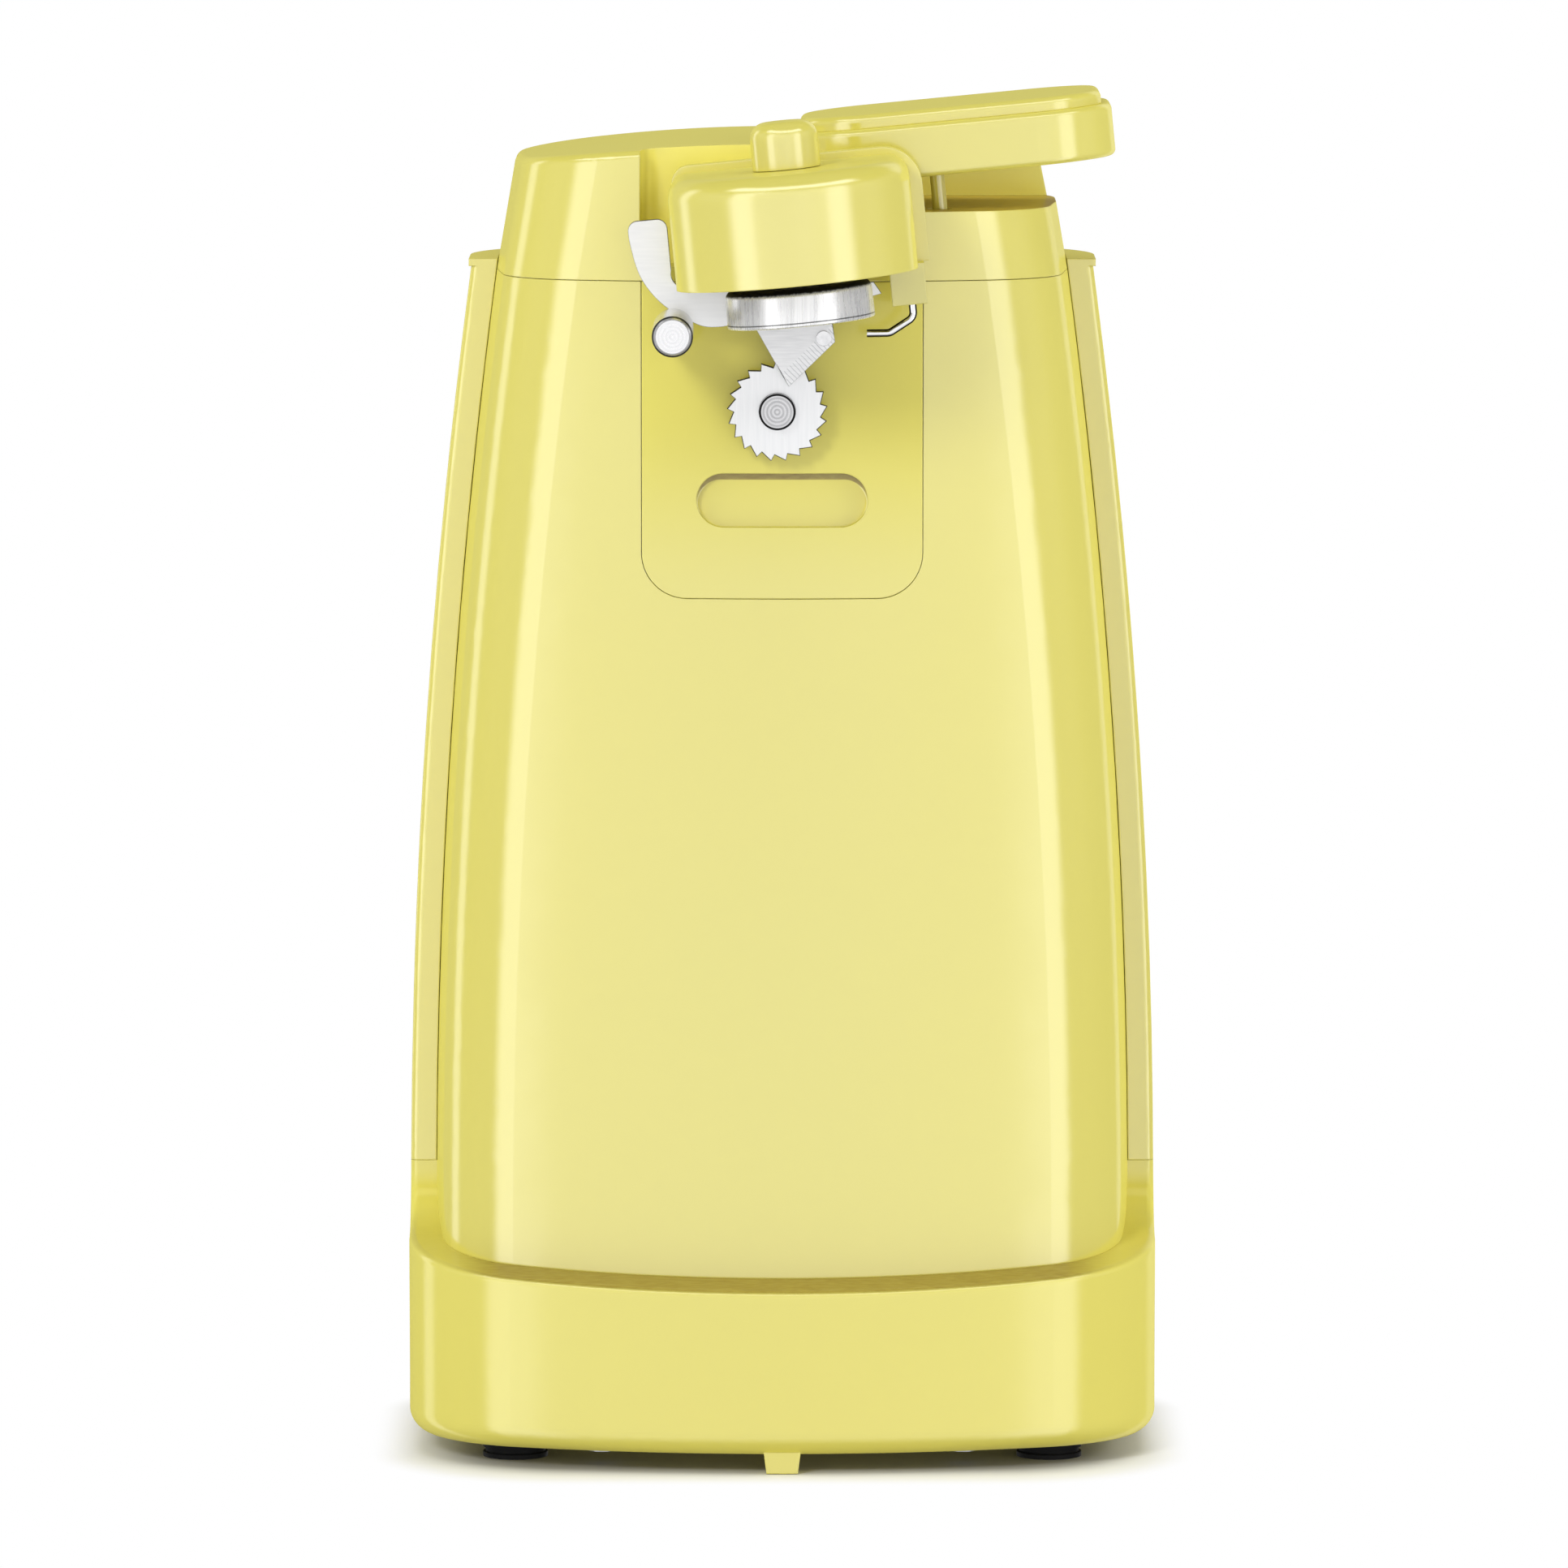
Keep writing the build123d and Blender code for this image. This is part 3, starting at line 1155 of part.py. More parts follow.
# Magnet group
with BuildPart() as magnet_knob:
    with BuildSketch(lever_top(BOSS_TOP + KNOB_GAP)):
        with Locations((MAGNET_U, MAGNET_Y)):
            Circle(KNOB_RADIUS)
    extrude(amount=KNOB_HEIGHT)
    fillet(magnet_knob.faces().sort_by(LEVER_UP)[-1].edges(), KNOB_ROUND)
    with BuildSketch(lever_top(BOSS_TOP + KNOB_GAP)):
        with Locations((MAGNET_U, MAGNET_Y)):
            Circle(STEM_RADIUS)
    extrude(amount=KNOB_BORE, mode=Mode.SUBTRACT)
save(magnet_knob.part, "magnet_knob")

with BuildPart() as magnet_stem:
    with BuildSketch(lever_top(CUP_TOP)):
        with Locations((MAGNET_U, MAGNET_Y)):
            Circle(STEM_RADIUS)
    extrude(amount=BOSS_TOP + KNOB_GAP + KNOB_BORE - CUP_TOP)
save(magnet_stem.part, "magnet_stem")

with BuildPart() as magnet_cup:
    with BuildSketch(lever_top(CUP_TOP - CUP_HEIGHT)):
        with Locations((MAGNET_U, MAGNET_Y)):
            Circle(CUP_RADIUS)
    extrude(amount=CUP_HEIGHT)
    fillet(magnet_cup.faces().sort_by(LEVER_UP)[-1].edges(), CUP_ROUND)
    with BuildSketch(lever_top(CUP_TOP - CUP_HEIGHT)):
        with Locations((MAGNET_U, MAGNET_Y)):
            Circle(CUP_RADIUS - CUP_WALL)
    extrude(amount=CUP_HEIGHT - CUP_WALL, mode=Mode.SUBTRACT)
save(magnet_cup.part, "magnet_cup")

with BuildPart() as magnet_disc:
    with BuildSketch(lever_top(CUP_TOP - CUP_HEIGHT + MAGNET_RECESS)):
        with Locations((MAGNET_U, MAGNET_Y)):
            Circle(CUP_RADIUS - CUP_WALL)
    extrude(amount=CUP_HEIGHT - CUP_WALL - MAGNET_RECESS)
save(magnet_disc.part, "magnet_disc")

spring_height = BOSS_TOP - BOSS_CEILING - CUP_TOP - 2 * SPRING_WIRE
with BuildPart() as spring_form:
    with BuildLine() as spring_line:
        Helix(spring_height / SPRING_TURNS, spring_height, SPRING_RADIUS)
    with BuildSketch(Plane(origin=spring_line.line @ 0, z_dir=spring_line.line % 0)):
        Circle(SPRING_WIRE)
    sweep(is_frenet=True)

with BuildPart() as magnet_spring:
    spring_seat = Location(lever_top(CUP_TOP + SPRING_WIRE)) * Location((MAGNET_U, MAGNET_Y, 0))
    add(spring_form.part.moved(spring_seat))
save(magnet_spring.part, "magnet_spring")

# Drive group
with BuildPart() as drive_wheel:
    tooth = 360.0 / WHEEL_TEETH
    wheel_points = []
    for count in range(WHEEL_TEETH):
        tip_angle = math.radians(WHEEL_CLOCK + count * tooth)
        root_angle = math.radians(WHEEL_CLOCK + (count + WHEEL_STEEP) * tooth)
        wheel_points.append((WHEEL_TIP * math.cos(tip_angle), WHEEL_TIP * math.sin(tip_angle)))
        wheel_points.append((WHEEL_ROOT * math.cos(root_angle), WHEEL_ROOT * math.sin(root_angle)))
    with BuildSketch(front_plane(WHEEL_BACK)):
        with Locations((SPINDLE_X, SPINDLE_Z)):
            Polygon(*wheel_points, align=None)
            Circle(SPINDLE_RADIUS, mode=Mode.SUBTRACT)
    extrude(amount=WHEEL_THICK)
save(drive_wheel.part, "drive_wheel")

with BuildPart() as drive_spindle:
    with BuildSketch(front_plane(SPINDLE_BACK)):
        with Locations((SPINDLE_X, SPINDLE_Z)):
            Circle(SPINDLE_RADIUS)
    extrude(amount=SPINDLE_BACK - SPINDLE_FRONT)
    with BuildSketch(front_plane(BUSH_FRONT - RUN_CLEAR)):
        with Locations((SPINDLE_X, SPINDLE_Z)):
            Circle(COLLAR_RADIUS)
    extrude(amount=BUSH_FRONT - RUN_CLEAR - WHEEL_BACK)
save(drive_spindle.part, "drive_spindle")

with BuildPart() as spindle_bush:
    with BuildSketch(front_plane(FRONT_PLATE_BACK)):
        with Locations((SPINDLE_X, SPINDLE_Z)):
            Circle(BUSH_RADIUS)
    extrude(amount=FRONT_PLATE_BACK - BUSH_FRONT)
    with BuildSketch(front_plane(FRONT_PLATE_Y)):
        with Locations((SPINDLE_X, SPINDLE_Z)):
            Circle(BUSH_FLANGE)
    extrude(amount=BUSH_FLANGE_THICK)
    with BuildSketch(front_plane(0)):
        with Locations((SPINDLE_X, SPINDLE_Z)):
            Circle(SPINDLE_RADIUS + RUN_CLEAR)
    extrude(amount=FAR, mode=Mode.SUBTRACT)
save(spindle_bush.part, "spindle_bush")

with BuildPart() as spindle_rear_bush:
    with BuildSketch(front_plane(REAR_BUSH_BACK)):
        with Locations((SPINDLE_X, SPINDLE_Z)):
            Circle(BUSH_RADIUS)
            Circle(SPINDLE_RADIUS + RUN_CLEAR, mode=Mode.SUBTRACT)
    extrude(amount=REAR_BUSH_BACK - REAR_PLATE_Y)
save(spindle_rear_bush.part, "spindle_rear_bush")

with BuildPart() as spindle_clip:
    with BuildSketch(front_plane(REAR_BUSH_BACK + RUN_CLEAR + CLIP_THICK)):
        with Locations((SPINDLE_X, SPINDLE_Z)):
            Circle(CLIP_RADIUS)
            Circle(SPINDLE_RADIUS, mode=Mode.SUBTRACT)
    extrude(amount=CLIP_THICK)
save(spindle_clip.part, "spindle_clip")

with BuildPart() as final_gear:
    with BuildSketch(front_plane(FINAL_BACK)):
        with BuildLine():
            Polyline(*gear_points(WHEEL_COUNT, SECOND_ANGLE, SPINDLE_X, SPINDLE_Z), close=True)
        make_face()
        with Locations((SPINDLE_X, SPINDLE_Z)):
            Circle(SPINDLE_RADIUS, mode=Mode.SUBTRACT)
    extrude(amount=FINAL_WIDTH)
save(final_gear.part, "final_gear")

with BuildPart() as second_gear:
    with BuildSketch(front_plane(SECOND_BACK)):
        with BuildLine():
            Polyline(*gear_points(WHEEL_COUNT, FIRST_ANGLE, SECOND_X, SECOND_Z), close=True)
        make_face()
    extrude(amount=SECOND_WIDTH)
    with BuildSketch(front_plane(SECOND_BACK - SECOND_WIDTH)):
        with BuildLine():
            Polyline(
                *gear_points(PINION_COUNT, pinion_clock(SECOND_ANGLE), SECOND_X, SECOND_Z),
                close=True,
            )
        make_face()
    extrude(amount=SECOND_BACK - SECOND_WIDTH - FINAL_BACK + FINAL_WIDTH + PINION_LAP)
    with BuildSketch(front_plane(REAR_PLATE_Y - GEAR_END_PLAY)):
        with Locations((SECOND_X, SECOND_Z)):
            Circle(HUB_TUBE_RADIUS)
    extrude(amount=REAR_PLATE_Y - FRONT_PLATE_BACK - 2 * GEAR_END_PLAY)
    with BuildSketch(front_plane(FAR)):
        with Locations((SECOND_X, SECOND_Z)):
            Circle(AXLE_RADIUS + RUN_CLEAR)
    extrude(amount=2 * FAR, mode=Mode.SUBTRACT)
save(second_gear.part, "second_gear")

with BuildPart() as first_gear:
    with BuildSketch(front_plane(FIRST_BACK)):
        with BuildLine():
            Polyline(*gear_points(WHEEL_COUNT, MOTOR_ANGLE, FIRST_X, FIRST_Z), close=True)
        make_face()
    extrude(amount=FIRST_WIDTH)
    with BuildSketch(front_plane(FIRST_BACK - FIRST_WIDTH)):
        with BuildLine():
            Polyline(
                *gear_points(PINION_COUNT, pinion_clock(FIRST_ANGLE), FIRST_X, FIRST_Z),
                close=True,
            )
        make_face()
    extrude(amount=FIRST_BACK - FIRST_WIDTH - SECOND_BACK + SECOND_WIDTH + PINION_LAP)
    with BuildSketch(front_plane(REAR_PLATE_Y - GEAR_END_PLAY)):
        with Locations((FIRST_X, FIRST_Z)):
            Circle(HUB_TUBE_RADIUS)
    extrude(amount=REAR_PLATE_Y - FRONT_PLATE_BACK - 2 * GEAR_END_PLAY)
    with BuildSketch(front_plane(FAR)):
        with Locations((FIRST_X, FIRST_Z)):
            Circle(AXLE_RADIUS + RUN_CLEAR)
    extrude(amount=2 * FAR, mode=Mode.SUBTRACT)
save(first_gear.part, "first_gear")

with BuildPart() as gear_axles:
    with BuildSketch(front_plane(REAR_PLATE_BACK)):
        with Locations((SECOND_X, SECOND_Z), (FIRST_X, FIRST_Z)):
            Circle(AXLE_RADIUS)
    extrude(amount=REAR_PLATE_BACK - FRONT_PLATE_Y)
save(gear_axles.part, "gear_axles")

# Chassis
with BuildPart() as front_plate:
    with BuildSketch(front_plane(FRONT_PLATE_BACK)):
        with Locations((0, (CHASSIS_LOW + CHASSIS_TOP) / 2)):
            RectangleRounded(2 * CHASSIS_HALF_WIDTH, CHASSIS_TOP - CHASSIS_LOW, CHASSIS_CORNER)
        with Locations((SPINDLE_X, SPINDLE_Z)):
            Circle(BUSH_RADIUS, mode=Mode.SUBTRACT)
        with Locations((SECOND_X, SECOND_Z), (FIRST_X, FIRST_Z)):
            Circle(AXLE_RADIUS, mode=Mode.SUBTRACT)
        with Locations(*PLATE_SCREW_SITES):
            Circle(PLATE_SCREW_RADIUS + PANEL_GAP, mode=Mode.SUBTRACT)
    extrude(amount=PLATE_GAUGE)
save(front_plate.part, "front_plate")

with BuildPart() as rear_plate:
    with BuildSketch(front_plane(REAR_PLATE_BACK)):
        with Locations((0, (CHASSIS_LOW + CHASSIS_TOP) / 2)):
            RectangleRounded(2 * CHASSIS_HALF_WIDTH, CHASSIS_TOP - CHASSIS_LOW, CHASSIS_CORNER)
        with Locations((SPINDLE_X, SPINDLE_Z)):
            Circle(BUSH_RADIUS, mode=Mode.SUBTRACT)
        with Locations((SECOND_X, SECOND_Z), (FIRST_X, FIRST_Z)):
            Circle(AXLE_RADIUS, mode=Mode.SUBTRACT)
        with Locations((MOTOR_X, MOTOR_Z)):
            Circle(SHAFT_RADIUS + SHAFT_HOLE_CLEAR, mode=Mode.SUBTRACT)
        with Locations(*MOTOR_SCREW_SITES):
            Circle(MOTOR_SCREW_RADIUS, mode=Mode.SUBTRACT)
    extrude(amount=PLATE_GAUGE)
save(rear_plate.part, "rear_plate")

with BuildPart() as plate_posts:
    with BuildSketch(front_plane(REAR_PLATE_Y)):
        with Locations(*POST_SITES):
            Circle(PLATE_POST_RADIUS)
    extrude(amount=REAR_PLATE_Y - FRONT_PLATE_BACK)
save(plate_posts.part, "plate_posts")

with BuildPart() as plate_screws:
    with BuildSketch(front_plane(FRONT_PLATE_BACK)):
        with Locations(*PLATE_SCREW_SITES):
            Circle(PLATE_HEAD_RADIUS)
    extrude(amount=-PLATE_HEAD_DEPTH)
    with BuildSketch(front_plane(FRONT_PLATE_BACK)):
        with Locations(*PLATE_SCREW_SITES):
            Circle(PLATE_SCREW_RADIUS)
    extrude(amount=PLATE_SCREW_REACH)
save(plate_screws.part, "plate_screws")

# Motor
with BuildPart() as motor_stator:
    with BuildSketch(front_plane(STACK_BACK)):
        with Locations((MOTOR_X, MOTOR_Z + (STACK_ABOVE - STACK_BELOW) / 2)):
            Rectangle(2 * STACK_HALF_WIDTH, STACK_ABOVE + STACK_BELOW)
        with Locations((MOTOR_X, MOTOR_Z)):
            Circle(ROTOR_RADIUS + AIR_GAP, mode=Mode.SUBTRACT)
        with Locations((MOTOR_X, (MOTOR_Z - WINDOW_TOP + STACK_LOW + LEG_HEIGHT) / 2)):
            Rectangle(
                2 * WINDOW_HALF_WIDTH,
                MOTOR_Z - WINDOW_TOP - STACK_LOW - LEG_HEIGHT,
                mode=Mode.SUBTRACT,
            )
        with Locations(*MOTOR_SCREW_SITES):
            Circle(MOTOR_SCREW_RADIUS, mode=Mode.SUBTRACT)
    extrude(amount=STACK_THICK)
save(motor_stator.part, "motor_stator")

bobbin_half = WINDOW_HALF_WIDTH - BOBBIN_CLEAR
tube_depth = STACK_THICK + 2 * (BOBBIN_CLEAR + BOBBIN_WALL)
tube_height = LEG_HEIGHT + 2 * (BOBBIN_CLEAR + BOBBIN_WALL)
leg_middle = ((STACK_FRONT + STACK_BACK) / 2, STACK_LOW + LEG_HEIGHT / 2)

with BuildPart() as motor_bobbin:
    with BuildSketch(Plane.YZ.offset(MOTOR_X - bobbin_half)):
        with Locations(leg_middle):
            Rectangle(tube_depth + 2 * COIL_BUILD, tube_height + 2 * COIL_BUILD)
    extrude(amount=2 * bobbin_half)
    with BuildSketch(Plane.YZ.offset(MOTOR_X - bobbin_half + BOBBIN_WALL)):
        with Locations(leg_middle):
            Rectangle(tube_depth + 4 * COIL_BUILD, tube_height + 4 * COIL_BUILD)
            Rectangle(tube_depth, tube_height, mode=Mode.SUBTRACT)
    extrude(amount=2 * (bobbin_half - BOBBIN_WALL), mode=Mode.SUBTRACT)
    with BuildSketch(Plane.YZ.offset(MOTOR_X - bobbin_half)):
        with Locations(leg_middle):
            Rectangle(STACK_THICK + 2 * BOBBIN_CLEAR, LEG_HEIGHT + 2 * BOBBIN_CLEAR)
    extrude(amount=2 * bobbin_half, mode=Mode.SUBTRACT)
save(motor_bobbin.part, "motor_bobbin")

with BuildPart() as motor_coil:
    with BuildSketch(Plane.YZ.offset(MOTOR_X - bobbin_half + BOBBIN_WALL)):
        with Locations(leg_middle):
            RectangleRounded(
                tube_depth + 2 * COIL_BUILD - BOBBIN_WALL,
                tube_height + 2 * COIL_BUILD - BOBBIN_WALL,
                COIL_ROUND,
            )
            Rectangle(tube_depth, tube_height, mode=Mode.SUBTRACT)
    extrude(amount=2 * (bobbin_half - BOBBIN_WALL))
save(motor_coil.part, "motor_coil")

with BuildPart() as motor_front_bracket:
    with BuildSketch(front_plane(BRACKET_FRONT + BRACKET_GAUGE)):
        with Locations((MOTOR_X, MOTOR_Z)):
            SlotOverall(2 * (MOTOR_SCREW_X + BRACKET_HALF_HEIGHT), 2 * BRACKET_HALF_HEIGHT)
    extrude(amount=BRACKET_GAUGE)
    with BuildSketch(front_plane(STACK_FRONT)):
        with Locations(*MOTOR_SCREW_SITES):
            Circle(SPACER_RADIUS)
    extrude(amount=BRACKET_FOOT)
    with BuildSketch(front_plane(BRACKET_FRONT + BEARING_LENGTH)):
        with Locations((MOTOR_X, MOTOR_Z)):
            Circle(BRACKET_BOSS_RADIUS)
    extrude(amount=BEARING_LENGTH)
    with BuildSketch(front_plane(FAR)):
        with Locations((MOTOR_X, MOTOR_Z)):
            Circle(BEARING_RADIUS)
        with Locations(*MOTOR_SCREW_SITES):
            Circle(MOTOR_SCREW_RADIUS)
    extrude(amount=2 * FAR, mode=Mode.SUBTRACT)
save(motor_front_bracket.part, "motor_front_bracket")

with BuildPart() as motor_rear_bracket:
    with BuildSketch(front_plane(BRACKET_REAR)):
        with Locations((MOTOR_X, MOTOR_Z)):
            SlotOverall(2 * (MOTOR_SCREW_X + BRACKET_HALF_HEIGHT), 2 * BRACKET_HALF_HEIGHT)
    extrude(amount=BRACKET_GAUGE)
    with BuildSketch(front_plane(STACK_BACK + BRACKET_FOOT)):
        with Locations(*MOTOR_SCREW_SITES):
            Circle(SPACER_RADIUS)
    extrude(amount=BRACKET_FOOT)
    with BuildSketch(front_plane(BRACKET_REAR)):
        with Locations((MOTOR_X, MOTOR_Z)):
            Circle(BRACKET_BOSS_RADIUS)
    extrude(amount=BEARING_LENGTH)
    with BuildSketch(front_plane(FAR)):
        with Locations((MOTOR_X, MOTOR_Z)):
            Circle(BEARING_RADIUS)
        with Locations(*MOTOR_SCREW_SITES):
            Circle(MOTOR_SCREW_RADIUS)
    extrude(amount=2 * FAR, mode=Mode.SUBTRACT)
save(motor_rear_bracket.part, "motor_rear_bracket")

with BuildPart() as motor_bearings:
    for bearing_back in (BRACKET_FRONT + BEARING_LENGTH, BRACKET_REAR):
        with BuildSketch(front_plane(bearing_back)):
            with Locations((MOTOR_X, MOTOR_Z)):
                Circle(BEARING_RADIUS)
                Circle(SHAFT_RADIUS + RUN_CLEAR, mode=Mode.SUBTRACT)
        extrude(amount=BEARING_LENGTH)
save(motor_bearings.part, "motor_bearings")

with BuildPart() as motor_screws:
    with BuildSketch(front_plane(BRACKET_REAR)):
        with Locations(*MOTOR_SCREW_SITES):
            Circle(MOTOR_SCREW_RADIUS)
    extrude(amount=BRACKET_REAR - REAR_PLATE_Y)
    with BuildSketch(front_plane(BRACKET_REAR + MOTOR_HEAD_DEPTH)):
        with Locations(*MOTOR_SCREW_SITES):
            Circle(MOTOR_HEAD_RADIUS)
    extrude(amount=MOTOR_HEAD_DEPTH)
save(motor_screws.part, "motor_screws")

with BuildPart() as motor_spacers:
    with BuildSketch(front_plane(BRACKET_FRONT)):
        with Locations(*MOTOR_SCREW_SITES):
            Circle(SPACER_RADIUS)
            Circle(MOTOR_SCREW_RADIUS, mode=Mode.SUBTRACT)
    extrude(amount=MOTOR_SPACER)
save(motor_spacers.part, "motor_spacers")

with BuildPart() as rotor_core:
    with BuildSketch(front_plane(STACK_BACK - ROTOR_SHORT)):
        with Locations((MOTOR_X, MOTOR_Z)):
            Circle(ROTOR_RADIUS)
            Circle(SHAFT_RADIUS, mode=Mode.SUBTRACT)
    extrude(amount=STACK_THICK - 2 * ROTOR_SHORT)
save(rotor_core.part, "rotor_core")

with BuildPart() as rotor_shaft:
    with BuildSketch(front_plane(BRACKET_REAR + SHAFT_TAIL)):
        with Locations((MOTOR_X, MOTOR_Z)):
            Circle(SHAFT_RADIUS)
    extrude(amount=BRACKET_REAR + SHAFT_TAIL - FIRST_BACK + FIRST_WIDTH + PINION_LAP)
save(rotor_shaft.part, "rotor_shaft")

with BuildPart() as motor_pinion:
    with BuildSketch(front_plane(FIRST_BACK + PINION_LAP)):
        with BuildLine():
            Polyline(
                *gear_points(PINION_COUNT, pinion_clock(MOTOR_ANGLE), MOTOR_X, MOTOR_Z),
                close=True,
            )
        make_face()
        with Locations((MOTOR_X, MOTOR_Z)):
            Circle(SHAFT_RADIUS, mode=Mode.SUBTRACT)
    extrude(amount=FIRST_WIDTH + 2 * PINION_LAP)
save(motor_pinion.part, "motor_pinion")

# Switch
with BuildPart() as switch_block:
    with BuildSketch(Plane.XY.offset(SWITCH_LOW)):
        with Locations((POST_X, REAR_PLATE_Y - SWITCH_DEPTH / 2)):
            Rectangle(SWITCH_WIDTH, SWITCH_DEPTH)
    extrude(amount=LEAF_TOP - LEAF_THICK - SWITCH_LOW)
    with BuildSketch(Plane.XY.offset(CONTACT_TOP - LEAF_THICK)):
        with Locations((POST_X, SWITCH_FRONT)):
            Rectangle(LEAF_WIDTH, 2 * CONTACT_ROOT)
    extrude(amount=LEAF_THICK, mode=Mode.SUBTRACT)
save(switch_block.part, "switch_block")

with BuildPart() as switch_leaf:
    with BuildSketch(Plane.XY.offset(LEAF_TOP - LEAF_THICK)):
        with Locations((POST_X, (LEAF_FRONT + REAR_PLATE_Y) / 2)):
            Rectangle(LEAF_WIDTH, REAR_PLATE_Y - LEAF_FRONT)
    extrude(amount=LEAF_THICK)
save(switch_leaf.part, "switch_leaf")

with BuildPart() as switch_contact:
    with BuildSketch(Plane.XY.offset(CONTACT_TOP - LEAF_THICK)):
        with Locations((POST_X, (LEAF_FRONT + SWITCH_FRONT + CONTACT_ROOT) / 2)):
            Rectangle(LEAF_WIDTH, SWITCH_FRONT + CONTACT_ROOT - LEAF_FRONT)
    extrude(amount=LEAF_THICK)
save(switch_contact.part, "switch_contact")
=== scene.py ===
import json
import math

import bpy
import numpy as np
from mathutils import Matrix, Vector


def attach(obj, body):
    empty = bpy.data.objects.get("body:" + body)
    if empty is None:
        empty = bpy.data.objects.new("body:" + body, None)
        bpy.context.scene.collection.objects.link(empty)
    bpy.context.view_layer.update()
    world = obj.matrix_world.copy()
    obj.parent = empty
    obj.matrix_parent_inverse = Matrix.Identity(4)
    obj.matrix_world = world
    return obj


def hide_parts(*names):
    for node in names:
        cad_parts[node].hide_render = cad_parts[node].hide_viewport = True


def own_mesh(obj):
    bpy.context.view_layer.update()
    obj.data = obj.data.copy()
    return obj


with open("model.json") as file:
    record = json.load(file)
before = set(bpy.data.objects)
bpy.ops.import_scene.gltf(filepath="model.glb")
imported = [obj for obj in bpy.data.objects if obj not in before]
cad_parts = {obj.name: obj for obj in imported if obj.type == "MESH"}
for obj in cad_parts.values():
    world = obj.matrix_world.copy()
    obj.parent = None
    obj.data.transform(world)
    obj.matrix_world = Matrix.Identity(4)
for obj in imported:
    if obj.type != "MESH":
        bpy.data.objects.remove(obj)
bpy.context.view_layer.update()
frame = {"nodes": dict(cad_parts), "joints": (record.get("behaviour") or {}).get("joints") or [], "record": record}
nodes = frame["nodes"]
mm = 0.001
print("frame: %d nodes" % len(nodes))


# shader maths

class Flow:
    # one socket of a node tree; arithmetic on it adds Math nodes

    def __init__(self, tree, socket=None):
        self.tree = tree
        self.socket = socket

    def node(self, kind, inputs=None, out=0, **settings):
        made = self.tree.nodes.new(kind)
        for key, value in settings.items():
            setattr(made, key, value)
        for key, value in (inputs or {}).items():
            target = made.inputs[key]
            if isinstance(value, Flow):
                self.tree.links.new(value.socket, target)
            else:
                target.default_value = value
        return Flow(self.tree, made.outputs[out])

    def maths(self, operation, *values):
        return self.node("ShaderNodeMath", dict(enumerate(values)), operation=operation)

    def __add__(self, other):
        return self.maths("ADD", self, other)

    __radd__ = __add__

    def __sub__(self, other):
        return self.maths("SUBTRACT", self, other)

    def __rsub__(self, other):
        return self.maths("SUBTRACT", other, self)

    def __mul__(self, other):
        return self.maths("MULTIPLY", self, other)

    __rmul__ = __mul__

    def __truediv__(self, other):
        return self.maths("DIVIDE", self, other)


def absolute(x):
    return x.maths("ABSOLUTE", x)


def positive(x):
    return x.maths("MAXIMUM", x, 0.0)


def hypotenuse(x, y):
    return x.maths("SQRT", x * x + y * y)


def wave(x):
    # a sine that swings between 0 and 1
    return 0.5 + 0.5 * x.maths("SINE", x)


def rise(x, low, high):
    # 0 below low, 1 above high, smooth between
    inputs = {"Value": x, "From Min": low, "From Max": high}
    return x.node("ShaderNodeMapRange", inputs, interpolation_type="SMOOTHSTEP")


def band(x, low, high, soft):
    # 1 between low and high, with soft ends
    return rise(x, low - soft, low + soft) * (1 - rise(x, high - soft, high + soft))


def blendColour(amount, first, second):
    inputs = {0: amount, 6: first, 7: second}
    return amount.node("ShaderNodeMix", inputs, out=2, data_type="RGBA")


def linear(red, green, blue):
    # a colour as a screen shows it, 0 to 255, to linear light
    share = np.array((red, green, blue)) / 255
    light = np.where(share < 0.04045, share / 12.92, ((share + 0.055) / 1.055) ** 2.4)
    return (*light.tolist(), 1.0)


def newFinish(name):
    material = bpy.data.materials.new(name)
    material.use_nodes = True
    material.node_tree.nodes.clear()
    return material, Flow(material.node_tree)


def endTree(flow, shader):
    end = flow.tree.nodes.new("ShaderNodeOutputMaterial")
    flow.tree.links.new(shader.socket, end.inputs["Surface"])


def close(flow, links, constants):
    # puts the linked and fixed sockets on one surface shader
    endTree(flow, flow.node("ShaderNodeBsdfPrincipled", {**constants, **links}))


def axisOf(flow, vector, name):
    return flow.node("ShaderNodeSeparateXYZ", {"Vector": vector}, out=name)


def point(flow):
    # object coordinates, metres
    return flow.node("ShaderNodeTexCoord", out="Object")


def coordinate(flow, name):
    return axisOf(flow, point(flow), name)


def facing(flow, name):
    # part of the surface normal along one axis
    return axisOf(flow, flow.node("ShaderNodeTexCoord", out="Normal"), name)


def dot(flow, first, second):
    inputs = {0: first, 1: second}
    return flow.node("ShaderNodeVectorMath", inputs, out="Value", operation="DOT_PRODUCT")


def pointFrom(flow, start):
    inputs = {0: point(flow), 1: tuple(start)}
    return flow.node("ShaderNodeVectorMath", inputs, operation="SUBTRACT")


def stretched(flow, scale, turn=(0, 0, 0)):
    # object coordinates stretched for streaks
    inputs = {"Vector": point(flow), "Scale": scale, "Rotation": turn}
    return flow.node("ShaderNodeMapping", inputs)


def noise(flow, vector, scale, detail=2.0):
    inputs = {"Vector": vector, "Scale": scale, "Detail": detail}
    return flow.node("ShaderNodeTexNoise", inputs, out=0)


def roundedNormal(flow, radius):
    return flow.node("ShaderNodeBevel", {"Radius": radius}, samples=6)


def nearEdge(flow, radius):
    # 1 close to a sharp edge: where the rounded normal leaves the true one
    true = flow.node("ShaderNodeNewGeometry", out="True Normal")
    return 1 - rise(dot(flow, roundedNormal(flow, radius), true), 0.86, 0.985)


